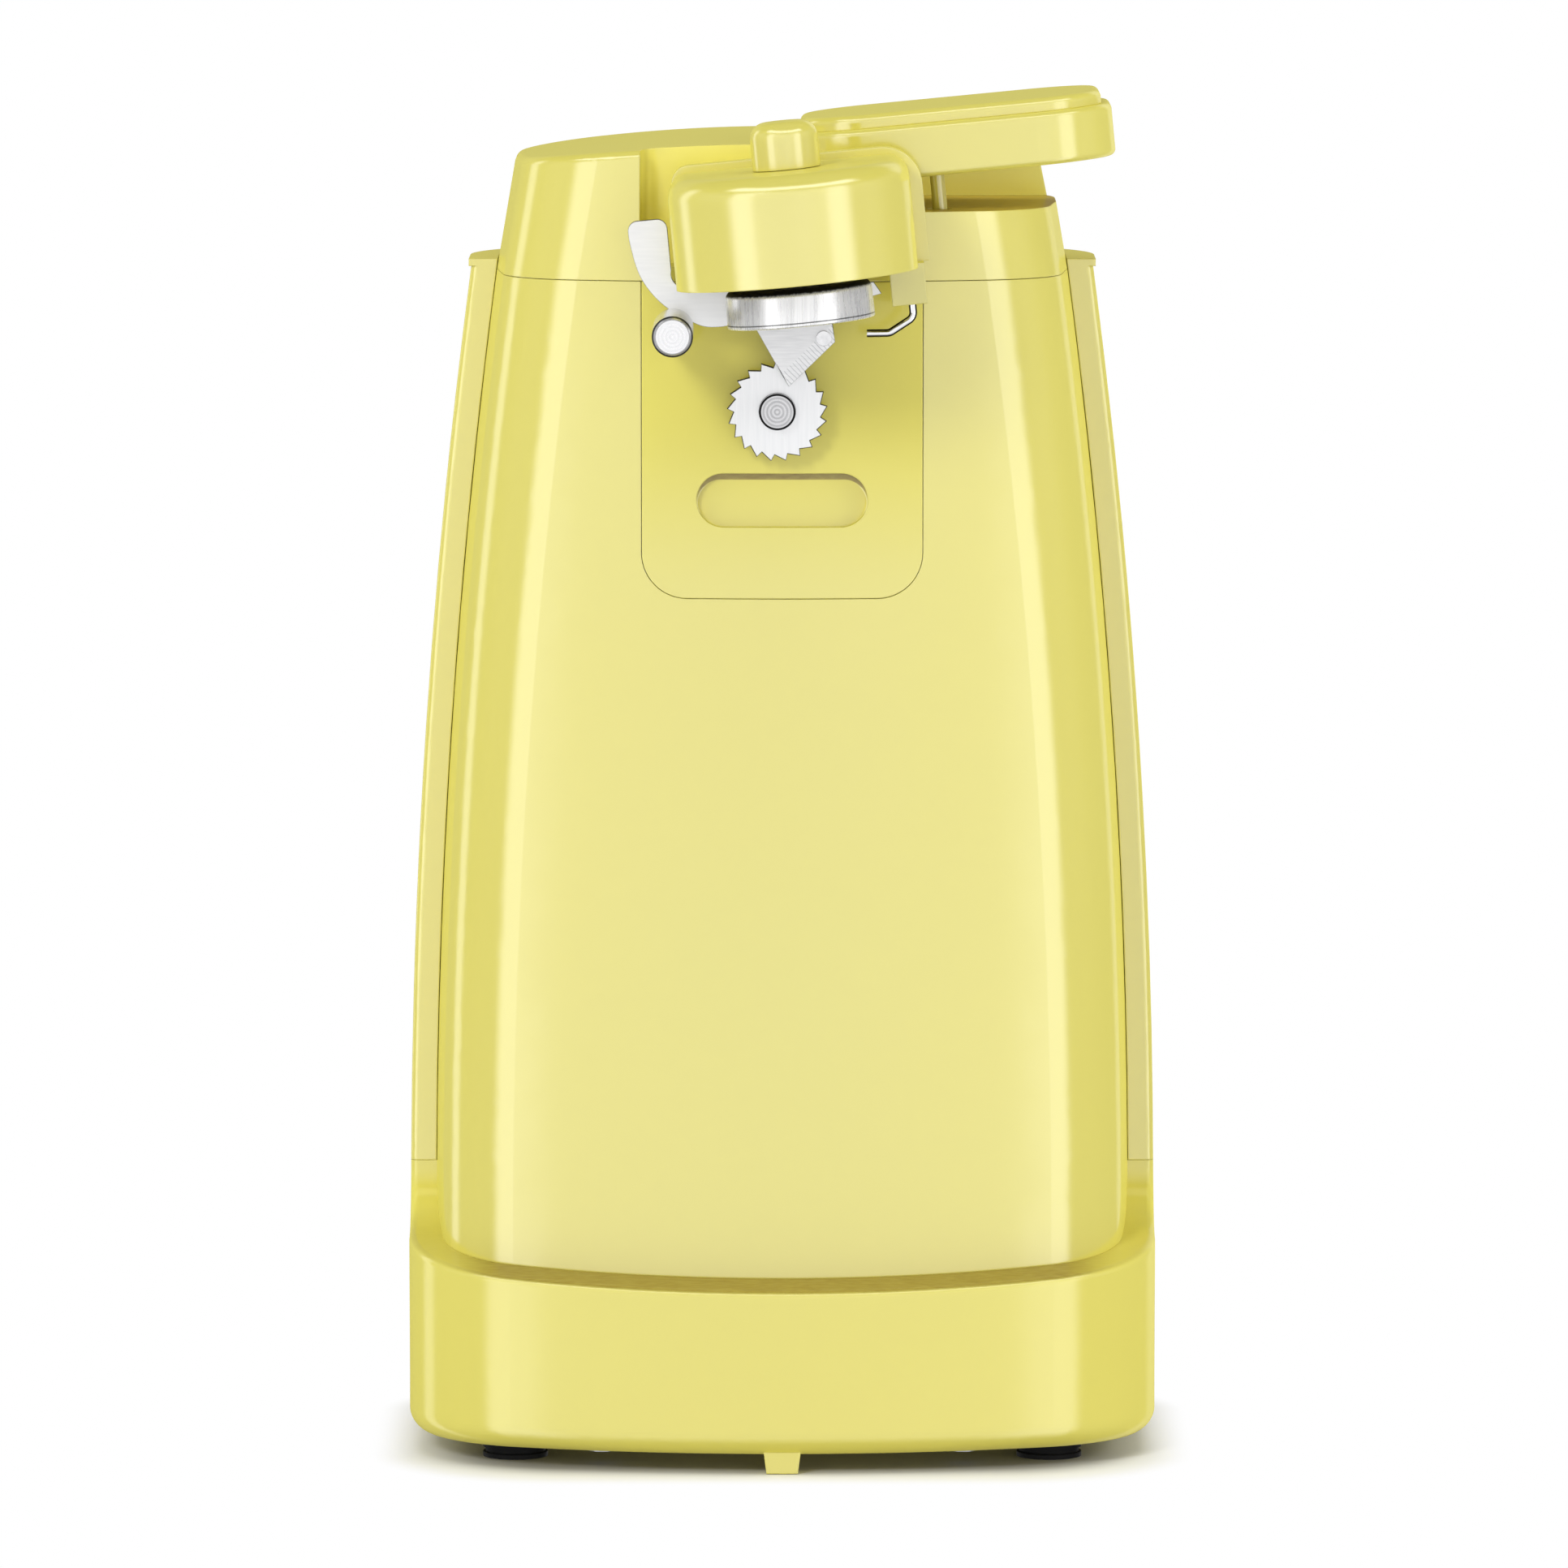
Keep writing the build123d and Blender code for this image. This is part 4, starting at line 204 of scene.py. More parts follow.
def bumped(flow, height, strength, distance, edge=None):
    inputs = {"Height": height, "Strength": strength, "Distance": distance}
    if edge:
        inputs["Normal"] = roundedNormal(flow, edge)
    return flow.node("ShaderNodeBump", inputs)


# finishes

yellow = {
    "body": linear(219, 210, 101),
    "warm": linear(222, 211, 95),
    # painted shade: darker tones for the base's shelf and the notch floor, upward faces that lie in shade
    "ledge": linear(150, 130, 50),
    "deck": linear(188, 162, 62),
    # the pale tone is painted light: a highlight along edges and light on the pocket's deep walls
    "pale": linear(250, 240, 122),
    "cloudScale": 16.0,
    "peelScale": 420.0,
    "peelStrength": 0.004,
    "peelDepth": 0.15 * mm,
    "speckScale": (420, 1500, 1500),
    "speckRough": 0.35,
    "roughness": 0.15,
    "roughSpread": 0.03,
    "sheen": 0.175,
    "calmShare": 0.8,
    "edge": 0.35 * mm,
    "worn": 0.5,
}

# where painted shade and painted light go on the plastic, and where its sheen is cut:
# spans of depth, height, side and normal
zones = {
    "panelFront": 24 * mm,
    "panelBow": 250 * mm,
    "headSeam": 197 * mm,
    "headLean": 0.17,
    "wallDepth": (4 * mm, 7 * mm),
    "wallFacing": (0.7, 0.9),
    "shoulderSide": (46 * mm, 52 * mm),
    "shoulderHeight": (38 * mm, 44 * mm),
    "shoulderFade": 2 * mm,
    "hoodShade": (142 * mm, 178 * mm),
    "shelfFacing": (0.4, 0.85),
    "shelfSide": (46 * mm, 57 * mm),
    "shelfStart": 0.8 * mm,
    "shelfSideLoss": 0.8,
    "ledgeShelf": (29.4 * mm, 35 * mm, 41 * mm),
    "deckShelf": (206.8 * mm, 208.4 * mm, 209.2 * mm),
}


def behindPanel(flow):
    # depth behind the front panel, whose face falls back as x squared
    x = coordinate(flow, "X")
    return coordinate(flow, "Y") + zones["panelFront"] - x * x / zones["panelBow"]


def deepWall(flow):
    # 1 on walls that face forwards well behind the head's leaning front; there the plastic is painted
    # paler as painted light, and its sheen is cut to paint out reflections
    lean = zones["headLean"] * (coordinate(flow, "Z") - zones["headSeam"])
    ahead = rise(-1 * facing(flow, "Y"), *zones["wallFacing"])
    return rise(behindPanel(flow) - lean, *zones["wallDepth"]) * ahead


def besideFoot(flow):
    # 1 on the base's two shoulders, under the ends of the rails; there the sheen is cut to paint out
    # a highlight
    side = rise(absolute(coordinate(flow, "X")), *zones["shoulderSide"])
    return side * band(coordinate(flow, "Z"), *zones["shoulderHeight"], zones["shoulderFade"])


def underHood(flow):
    # grows from the recess up to the hood; the insert's sheen is cut along it as painted shade
    return rise(coordinate(flow, "Z"), *zones["hoodShade"])


def shelfMask(flow, heights):
    # 1 on upward faces from the first height to the second, gone by the third, weak at the sides;
    # there shade is painted on the base's shelf and on the notch floor
    low, top, end = heights
    high = coordinate(flow, "Z")
    level = rise(facing(flow, "Z"), *zones["shelfFacing"])
    level = level * rise(high, low, low + zones["shelfStart"]) * (1 - rise(high, top, end))
    aside = rise(absolute(coordinate(flow, "X")), *zones["shelfSide"])
    return level * (1 - zones["shelfSideLoss"] * aside)


# recess for a fingertip: its floor ends in a slot shape; above it a dark grained band is painted
# shade for the upper wall, and a light line along the rest of the edge is a painted highlight

recess = {
    "half": 10.1 * mm,
    "radius": 3.85 * mm,
    "middle": 160.4 * mm,
    "depth": (0.5 * mm, 0.8 * mm),
    "slopeEdge": (0.0, 0.12 * mm),
    "slopeHeight": (-0.5 * mm, 3.2 * mm),
    "lineSpan": (-0.08 * mm, 0.1 * mm),
    "lineFade": 0.06 * mm,
    "lineTop": (2 * mm, 3.4 * mm),
    "lineEnds": (0.2 * mm, 1.5 * mm),
    "grainScale": (500, 1500, 1500),
    # tones of the painted shade on the upper wall and of the painted highlight along the edge
    "wall": linear(138, 118, 42),
    "line": linear(246, 240, 170),
}


def recessed(flow, colour):
    x = positive(absolute(coordinate(flow, "X")) - recess["half"])
    z = coordinate(flow, "Z") - recess["middle"]
    off = hypotenuse(x, z) - recess["radius"]
    inside = rise(behindPanel(flow), *recess["depth"])
    grain = noise(flow, stretched(flow, recess["grainScale"]), 1.0, 3.0)
    # painted shade on the upper wall, with a grain
    slope = inside * rise(off, *recess["slopeEdge"]) * rise(z, *recess["slopeHeight"])
    colour = blendColour(slope * (0.55 + 0.55 * grain), colour, recess["wall"])
    # painted highlight along the edge
    line = inside * band(off, *recess["lineSpan"], recess["lineFade"])
    line = line * (1 - rise(z, *recess["lineTop"])) * rise(x, *recess["lineEnds"])
    return blendColour(line, colour, recess["line"])


def yellowPlastic(name, shelf=None, calm=None, slot=False, gloss=1.0, soft=0.0):
    # shelf: heights of upward faces painted darker as painted shade, over a rougher speckled
    # finish, and the shade's tone; the sheen cut: where the sheen is cut to paint out reflections,
    # and a tone painted there as painted light; slot: with the fingertip recess, painted shade and
    # highlight in it; gloss: share of the full shine; soft: added to the roughness
    material, flow = newFinish(name)
    cloud = noise(flow, point(flow), yellow["cloudScale"], 1.0)
    peel = noise(flow, point(flow), yellow["peelScale"], 2.0)
    colour = blendColour(cloud, yellow["body"], yellow["warm"])
    base = yellow["roughness"] + soft
    rough = base + yellow["roughSpread"] * (peel - 0.5)
    # painted shade on the shelf, speckled, over a rougher finish
    if shelf:
        heights, tone = shelf
        level = shelfMask(flow, heights)
        speck = noise(flow, stretched(flow, yellow["speckScale"]), 1.0, 3.0)
        colour = blendColour(level * (0.7 + 0.4 * speck), colour, tone)
        rough = rough + yellow["speckRough"] * level
    if slot:
        colour = recessed(flow, colour)
    shine = yellow["sheen"] * gloss
    # sheen cut to paint out reflections; a tone given with it is painted light
    if calm:
        where, tone = calm
        quiet = where(flow)
        shine = shine * (1 - yellow["calmShare"] * quiet)
        if tone:
            colour = blendColour(quiet, colour, tone)
    # painted highlight: edges lightened towards the pale tone
    worn = yellow["worn"] * nearEdge(flow, yellow["edge"])
    colour = blendColour(worn, colour, yellow["pale"])
    normal = bumped(flow, peel, yellow["peelStrength"], yellow["peelDepth"], yellow["edge"])
    links = {"Base Color": colour, "Roughness": rough, "Normal": normal}
    body = flow.node("ShaderNodeBsdfPrincipled", {**links, "Specular IOR Level": 0.0})
    inputs = {"Color": (1, 1, 1, 1), "Roughness": base, "Normal": normal}
    mirror = flow.node("ShaderNodeBsdfAnisotropic", inputs)
    endTree(flow, flow.node("ShaderNodeMixShader", {0: shine, 1: body, 2: mirror}))
    return material


rubber = {
    "dark": linear(8, 8, 9),
    "pale": linear(24, 24, 25),
    "gritScale": 1800.0,
    "gritStrength": 0.25,
    "gritDepth": 0.2 * mm,
    "edge": 0.2 * mm,
    "roughness": 0.5,
    "roughSpread": 0.25,
    "specular": 0.15,
}


def blackRubber():
    material, flow = newFinish("blackRubber")
    grit = noise(flow, point(flow), rubber["gritScale"], 4.0)
    colour = blendColour(grit, rubber["dark"], rubber["pale"])
    rough = rubber["roughness"] + rubber["roughSpread"] * grit
    links = {"Base Color": colour, "Roughness": rough}
    grain = rubber["gritStrength"], rubber["gritDepth"]
    links["Normal"] = bumped(flow, grit, *grain, rubber["edge"])
    close(flow, links, {"Specular IOR Level": rubber["specular"]})
    return material


steel = {
    "bright": linear(246, 246, 247),
    "sheet": linear(230, 231, 233),
    "sheared": linear(70, 68, 66),
    "edge": 0.2 * mm,
    "flatFacing": (0.72, 0.95),
    "metallic": 0.75,
    "barGrain": (900, 260, 900),
    "barEdge": 0.12 * mm,
    "flankFacing": (0.68, 0.88),
}


def flatFace(flow, edge):
    # 1 on the broad faces of a sheet that lies across Y, away from its edges
    level = rise(absolute(facing(flow, "Y")), *steel["flatFacing"])
    return level * (1 - nearEdge(flow, edge))


def sheetSteel(name, scale, turn=(0, 0, 0)):
    # stamped sheet: brushed faces across Y, with painted dark reflection on its edges
    material, flow = newFinish(name)
    brush = noise(flow, stretched(flow, scale, turn), 1.0, 3.0)
    flat = flatFace(flow, steel["edge"])
    bright = blendColour(brush, steel["sheet"], steel["bright"])
    # painted dark reflection on edges and sides
    colour = blendColour(flat, steel["sheared"], bright)
    links = {"Base Color": colour, "Roughness": 0.5 - 0.2 * flat + 0.1 * (brush - 0.5)}
    links["Normal"] = bumped(flow, brush, 0.05, 0.05 * mm)
    close(flow, links, {"Metallic": steel["metallic"]})
    return material


def brightBar(name, dark, pale, roughness, flank=None):
    # plated round stock with a faint grain; the dark side tone is painted dark reflection on the
    # sides that face away from Y
    material, flow = newFinish(name)
    grain = noise(flow, stretched(flow, steel["barGrain"]), 1.0, 2.0)
    colour = blendColour(grain, dark, pale)
    if flank:
        ahead = rise(absolute(facing(flow, "Y")), *steel["flankFacing"])
        # painted dark reflection on the sides
        colour = blendColour(ahead, flank, colour)
    links = {"Base Color": colour, "Roughness": roughness + 0.1 * (grain - 0.5)}
    links["Normal"] = bumped(flow, grain, 0.05, 0.05 * mm, steel["barEdge"])
    close(flow, links, {"Metallic": 1.0})
    return material


turning = {
    "outline": linear(20, 20, 21),
    "rings": 10000,
    "wobble": 1.2,
    "wobbleScale": 700.0,
    "rimFade": 0.06 * mm,
    "chamfer": (0.15 * mm, 0.3 * mm),
    "chamferFacing": (0.3, 0.5),
    "chamferShare": 0.9,
    "faceFacing": (0.9, 0.99),
    "metallic": 0.85,
}


def turnedSteel(name, centre, rim, shades):
    # lathe-turned end face: rings about an axis along Y, painted shade at the rim and on the
    # chamfer; rim: its two radii and how dark it is
    material, flow = newFinish(name)
    inner, outer, amount = rim
    start, stop = turning["chamfer"]
    inputs = {"Vector": point(flow), "Location": (-centre[0], 0, -centre[1])}
    about = flow.node("ShaderNodeMapping", inputs)
    radius = hypotenuse(axisOf(flow, about, "X"), axisOf(flow, about, "Z"))
    wobble = noise(flow, point(flow), turning["wobbleScale"], 2.0)
    rings = wave(radius * turning["rings"] + turning["wobble"] * wobble)
    shade = 0.7 * rings + 0.3 * wobble
    colour = blendColour(shade, *shades)
    ahead = absolute(facing(flow, "Y"))
    edge = rise(ahead, *turning["faceFacing"]) * band(radius, inner, outer, turning["rimFade"])
    chamfer = rise(radius, outer + start, outer + stop) * rise(ahead, *turning["chamferFacing"])
    # painted shade at the rim and on the chamfer
    dark = flow.maths("MAXIMUM", edge * amount, turning["chamferShare"] * chamfer)
    colour = blendColour(dark, colour, turning["outline"])
    links = {"Base Color": colour, "Roughness": 0.32 - 0.1 * shade}
    links["Normal"] = bumped(flow, rings, 0.05, 0.04 * mm)
    close(flow, links, {"Metallic": turning["metallic"]})
    return material


def speckled(name, dark, pale, scale, roughness, metallic):
    # plain inner finish with fine mottling
    material, flow = newFinish(name)
    grit = noise(flow, point(flow), scale, 3.0)
    colour = blendColour(grit, dark, pale)
    links = {"Base Color": colour, "Roughness": roughness + 0.15 * (grit - 0.5)}
    links["Normal"] = bumped(flow, grit, 0.08, 0.08 * mm)
    close(flow, links, {"Metallic": metallic})
    return material


def layered(name, dark, pale, pitch, axis, roughness, metallic):
    # stacked sheets or wound wire: lines every pitch along one axis
    material, flow = newFinish(name)
    line = wave(coordinate(flow, axis) * (2 * math.pi / pitch))
    mottle = noise(flow, point(flow), 500.0, 2.0)
    colour = blendColour(line * (0.6 + 0.4 * mottle), dark, pale)
    links = {"Base Color": colour, "Roughness": roughness + 0.1 * mottle}
    links["Normal"] = bumped(flow, line, 0.5, 0.1 * mm)
    close(flow, links, {"Metallic": metallic})
    return material


# joints, and the lever's own axes

leverJoint = next(j for j in frame["joints"] if j["name"] == "lever_press")
magnetJoint = next(j for j in frame["joints"] if j["name"] == "magnet_float")
driveJoint = next(j for j in frame["joints"] if j["name"] == "drive_spin")
pivot = np.array(leverJoint["pos_m"])
upward = np.array(magnetJoint["axis"])
along = np.array((upward[2], 0.0, -upward[0]))
tilt = math.atan2(-upward[0], upward[2])
driveAxis = (driveJoint["pos_m"][0], driveJoint["pos_m"][2])


def leverPoints(u, y, v):
    # lever plan: u along the paddle, v up, both from the pivot, y across
    flat = pivot * (1, 0, 1)
    across = np.array((0, 1, 0))
    return flat + u[..., None] * along + v[..., None] * upward + y[..., None] * across


# new pieces: each dictionary is in millimetres, blade and cup in the lever's plan

def insideOut(vertices, faces):
    # true where the volume inside the faces, summed by fans of triangles, is negative
    total = 0.0
    for face in faces:
        corner = vertices[face]
        total += (corner[0] * np.cross(corner[1:-1], corner[2:])).sum()
    return total < 0


def putMesh(name, vertices, faces, material, sharp):
    faces = [np.asarray(face) for face in faces]
    if insideOut(vertices, faces):
        faces = [face[::-1] for face in faces]
    mesh = bpy.data.meshes.new(name)
    mesh.from_pydata(vertices.tolist(), [], [face.tolist() for face in faces])
    mesh.polygons.foreach_set("use_smooth", np.ones(len(faces), bool))
    mesh.set_sharp_from_angle(angle=math.radians(sharp))
    mesh.materials.append(material)
    piece = bpy.data.objects.new(name, mesh)
    bpy.context.scene.collection.objects.link(piece)
    return piece


def ringFaces(rings, count, closed=False):
    # quads between neighbouring rings; end rings become one face each unless closed
    index = np.arange(rings * count).reshape(rings, count)
    upper = np.vstack((index[1:], index[:1])) if closed else index[1:]
    lower = index if closed else index[:-1]
    quads = np.stack((lower, np.roll(lower, -1, 1), np.roll(upper, -1, 1), upper), -1)
    faces = list(quads.reshape(-1, 4))
    if not closed:
        faces += [index[0][::-1], index[-1]]
    return faces


def spread(corners, perEdge):
    # evenly spaced points along each side of an outline
    step = np.linspace(0, 1, perEdge, endpoint=False)[None, :, None]
    start = corners[:, None]
    return (start + step * (np.roll(corners, -1, 0)[:, None] - start)).reshape(-1, 2)


# cutter blade: the quadrilateral outline carried from back to front, its front face
# the lower of a flat and a ground slope that rises from the cutting edge

blade = {
    "corners": ((10.66, -25.9), (18.9, -19.3), (18.6, -10.5), (3.8, -10.5)),
    "insets": (2.4, 0.12, 0.12, 0.12),
    "back": -30.0,
    "thick": 1.2,
    "edgeThick": 0.72,
    "perEdge": 14,
    "sharp": 5,
    "ground": linear(180, 181, 184),
    "edgeTone": linear(60, 58, 56),
    "edgeReach": 0.16,
    "groundFade": (-0.15, 0.1),
    "hatch": 10000,
    "hatchSpan": (0.6, 1.0),
    "jitter": 3.5,
    "jitterScale": 500.0,
    "brushScale": (240, 900, 2600),
}


def insetCorners(corners, insets):
    # moves each side inwards by its inset and meets neighbouring sides again
    corners = np.array(corners)
    side = np.roll(corners, -1, 0) - corners
    side = side / np.linalg.norm(side, axis=1)[:, None]
    inward = np.stack((-side[:, 1], side[:, 0]), 1)
    level = (corners * inward).sum(1) + np.array(insets)
    met = []
    for k in range(len(corners)):
        pair = np.stack((inward[k - 1], inward[k]))
        met.append(np.linalg.solve(pair, np.array((level[k - 1], level[k]))))
    return np.array(met)


def groundSteel(name, corners, edge, width):
    # sheet steel with grinding lines across the slope beside the cutting edge, and painted dark
    # reflection on its edges
    material, flow = newFinish(name)
    start = pivot * (1, 0, 1) + (corners[0][0] * along + corners[0][1] * upward) * mm
    local = pointFrom(flow, start)
    down = dot(flow, local, tuple(edge[0] * along + edge[1] * upward))
    over = dot(flow, local, tuple(-edge[1] * along + edge[0] * upward))
    ground = 1 - rise(over, *((width + fade) * mm for fade in blade["groundFade"]))
    jitter = noise(flow, point(flow), blade["jitterScale"], 2.0)
    swing = flow.maths("SINE", down * blade["hatch"] + blade["jitter"] * jitter)
    lines = ground * rise(swing, *blade["hatchSpan"]) * (0.35 + 0.65 * jitter)
    brush = noise(flow, stretched(flow, blade["brushScale"]), 1.0, 3.0)
    flat = flatFace(flow, blade["edgeReach"] * mm)
    bright = blendColour(0.45 + 0.6 * brush - 0.8 * lines, blade["ground"], steel["bright"])
    # painted dark reflection on the edges
    colour = blendColour(flat, blade["edgeTone"], bright)
    links = {"Base Color": colour, "Roughness": 0.42 - 0.1 * flat + 0.1 * lines}
    links["Normal"] = bumped(flow, brush - lines, 0.06, 0.05 * mm)
    close(flow, links, {"Metallic": steel["metallic"]})
    return material


def makeBlade():
    corners = np.array(blade["corners"])
    width = blade["insets"][0]
    outer = spread(corners, blade["perEdge"])
    inner = spread(insetCorners(corners, blade["insets"]), blade["perEdge"])
    edge = corners[1] - corners[0]
    edge = edge / np.linalg.norm(edge)

    def front(points):
        away = (points - corners[0]) @ np.array((-edge[1], edge[0]))
        slope = (blade["thick"] - blade["edgeThick"]) * away / width
        thick = np.minimum(blade["thick"], blade["edgeThick"] + np.maximum(0, slope))
        return blade["back"] - thick

    plan = np.stack((outer, outer, inner))
    depth = np.stack((np.full(len(outer), blade["back"]), front(outer), front(inner)))
    points = leverPoints(plan[..., 0] * mm, depth * mm, plan[..., 1] * mm).reshape(-1, 3)
    finish = groundSteel("groundBlade", corners, edge, width)
    faces = ringFaces(len(plan), len(outer))
    piece = putMesh("cutterBladeGround", points, faces, finish, blade["sharp"])
    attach(piece, "lever")
    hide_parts("cutter_blade")


# drive wheel: the ratchet outline and the bore are two rings, carried round a closed
# section of back, chamfer, rim, chamfer and front

wheel = {
    "teeth": 21,
    "tip": 8.25,
    "root": 7.2,
    "steep": 0.2,
    "clock": 91.5,
    "bore": 3.0,
    "back": -26.2,
    "thick": 1.8,
    "chamfer": 0.14,
    "perSide": 3,
    "sharp": 20,
    "brushScale": (2600, 400, 120),
}


def makeWheel():
    tooth = 2 * math.pi / wheel["teeth"]
    start = math.radians(wheel["clock"]) + tooth * np.arange(wheel["teeth"])
    angle = np.stack((start, start + wheel["steep"] * tooth), 1).reshape(-1)
    radius = np.tile((wheel["tip"], wheel["root"]), wheel["teeth"])
    corners = np.stack((radius * np.cos(angle), radius * np.sin(angle)), 1)
    outline = spread(corners, wheel["perSide"])
    reach = np.linalg.norm(outline, axis=1)[:, None]
    bore = outline / reach * wheel["bore"]
    drawn = outline * (1 - wheel["chamfer"] / reach)
    back, step = wheel["back"], wheel["chamfer"]
    front = back - wheel["thick"]
    plan = np.stack((bore, drawn, outline, outline, drawn, bore))
    depth = np.array((back, back, back - step, front + step, front, front))
    depth = np.broadcast_to(depth[:, None], plan.shape[:2])
    x = plan[..., 0] * mm + driveAxis[0]
    z = plan[..., 1] * mm + driveAxis[1]
    points = np.stack((x, depth * mm, z), -1).reshape(-1, 3)
    finish = sheetSteel("wheelSteel", wheel["brushScale"])
    faces = ringFaces(len(plan), len(outline), closed=True)
    piece = putMesh("driveWheelToothed", points, faces, finish, wheel["sharp"])
    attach(piece, "drive")
    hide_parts("drive_wheel")


# magnet cup: a drawn cup's section, from the open rim over the wall and crown and back
# down the inside, turned about the stem

cup = {
    "u": 13.8,
    "y": -44.0,
    "top": -8.4,
    "height": 6.3,
    "radius": 12.05,
    "wall": 1.0,
    "round": 1.5,
    "lip": 0.3,
    "draw": 0.12,
    "hole": 3.0,
    "turns": 160,
    "arc": 8,
    "sharp": 40,
    "crownDark": (-1.25, -0.75),
    "crownTone": linear(11, 11, 12),
    "crownStray": 0.5,
    "lipLine": (0.55, 0.75),
    "lipFade": 0.06,
    "lipTone": linear(50, 50, 51),
    "lipShare": 0.85,
    "streaks": (2600, 2600, 50),
    "streakSpan": (0.25, 0.7),
    "chrome": (linear(226, 226, 228), linear(248, 248, 249)),
    "metallic": 0.65,
    "specular": 0.2,
}


def drawnChrome(name, crown, lip):
    # fine streaks along the cup's axis, the crown painted black as painted shade, and a dark line
    # painted at the lip as painted shade
    material, flow = newFinish(name)
    streak = noise(flow, stretched(flow, cup["streaks"], (0, tilt, 0)), 1.0, 4.0)
    level = dot(flow, pointFrom(flow, pivot * (1, 0, 1)), tuple(upward))
    # painted shade on the crown
    top = rise(level + cup["crownStray"] * mm * (streak - 0.5), *crown)
    # painted shade along the lip
    line = cup["lipShare"] * band(level, *lip, cup["lipFade"] * mm)
    colour = blendColour(rise(streak, *cup["streakSpan"]), *cup["chrome"])
    colour = blendColour(line, colour, cup["lipTone"])
    colour = blendColour(top, colour, cup["crownTone"])
    links = {"Base Color": colour, "Roughness": 0.22 + 0.12 * streak + 0.2 * top}
    links["Metallic"] = cup["metallic"] * (1 - top)
    links["Normal"] = bumped(flow, streak, 0.025, 0.06 * mm)
    close(flow, links, {"Specular IOR Level": cup["specular"]})
    return material


def makeCup():
    top, wall, lip, crown = cup["top"], cup["wall"], cup["lip"], cup["round"]
    bottom = top - cup["height"]
    ceiling = top - wall
    inner = cup["radius"] - wall
    quarter = np.linspace(0, math.pi / 2, cup["arc"])
    lipR = cup["radius"] - lip + lip * np.sin(quarter)
    lipV = bottom + lip - lip * np.cos(quarter)
    crownR = cup["radius"] - cup["draw"] - crown + crown * np.cos(quarter)
    crownV = top - crown + crown * np.sin(quarter)
    sectionR = np.concatenate(((inner,), lipR, crownR, (cup["hole"], cup["hole"], inner)))
    sectionV = np.concatenate(((bottom,), lipV, crownV, (top, ceiling, ceiling)))
    turn = np.linspace(0, 2 * math.pi, cup["turns"], endpoint=False)
    u = cup["u"] + sectionR[:, None] * np.cos(turn)
    y = cup["y"] + sectionR[:, None] * np.sin(turn)
    v = np.broadcast_to(sectionV[:, None], u.shape)
    points = leverPoints(u * mm, y * mm, v * mm).reshape(-1, 3)
    crownDark = [(top + level) * mm for level in cup["crownDark"]]
    lipLine = [(bottom + level) * mm for level in cup["lipLine"]]
    finish = drawnChrome("drawnCup", crownDark, lipLine)
    faces = ringFaces(len(sectionR), cup["turns"], closed=True)
    piece = putMesh("magnetCupDrawn", points, faces, finish, cup["sharp"])
    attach(piece, "magnet")
    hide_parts("magnet_cup")


def shortenSpring():
    # works out how much of the coil to keep and its upper end, and gives the coil a mesh of its
    # own; the coil's shape is left as it is
    coil = nodes["magnet_spring"]
    points = np.empty(3 * len(coil.data.vertices))
    coil.data.vertices.foreach_get("co", points)
    points = points.reshape(-1, 3)
    level = points @ upward
    keep = 1 - magnetJoint["range_m"][1] / (level.max() - level.min())
    anchor = points[level.argmax()].tolist()
    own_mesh(coil)


# finish of every carried-over part

guide = {"u": -7.24, "v": -14.67, "rim": (2.7 * mm, 2.85 * mm, 0.6)}
spindle = {"rim": (2.65 * mm, 3.2 * mm, 1.0)}
plate = {"brushScale": (160, 900, 1900), "brushTurn": (0, 0.5, 0)}

tones = {
    "plated": (linear(206, 206, 209), linear(248, 248, 249)),
    "spindle": (linear(172, 172, 174), linear(224, 224, 226)),
    "post": (linear(236, 236, 238), linear(246, 246, 247)),
    "flank": linear(26, 26, 27),
}

# by material slot: name, two tones, scale of the mottling, roughness, share of metal
inner = {
    "ferrite": ("sinteredFerrite", linear(28, 28, 29), linear(58, 57, 56), 900.0, 0.62, 0.0),
    "zinc_steel": ("zincPlate", linear(150, 152, 155), linear(196, 197, 199), 300.0, 0.36, 1.0),
    "bronze": ("porousBronze", linear(150, 112, 60), linear(196, 156, 92), 800.0, 0.38, 1.0),
    "white_nylon": ("whiteNylon", linear(214, 212, 200), linear(232, 230, 222), 260.0, 0.45, 0.0),
    "black_resin": ("blackResin", linear(16, 16, 17), linear(36, 36, 37), 600.0, 0.5, 0.0),
}

# by material slot: name, two tones, pitch and axis of the lines, roughness, share of metal
lined = {
    "lamination": (
        "stampedStack", linear(46, 46, 48), linear(120, 120, 123), 0.5 * mm, "Y", 0.42, 0.8,
    ),
    "copper_winding": (
        "copperWinding", linear(96, 42, 18), linear(196, 106, 56), 0.42 * mm, "X", 0.3, 0.7,
    ),
}


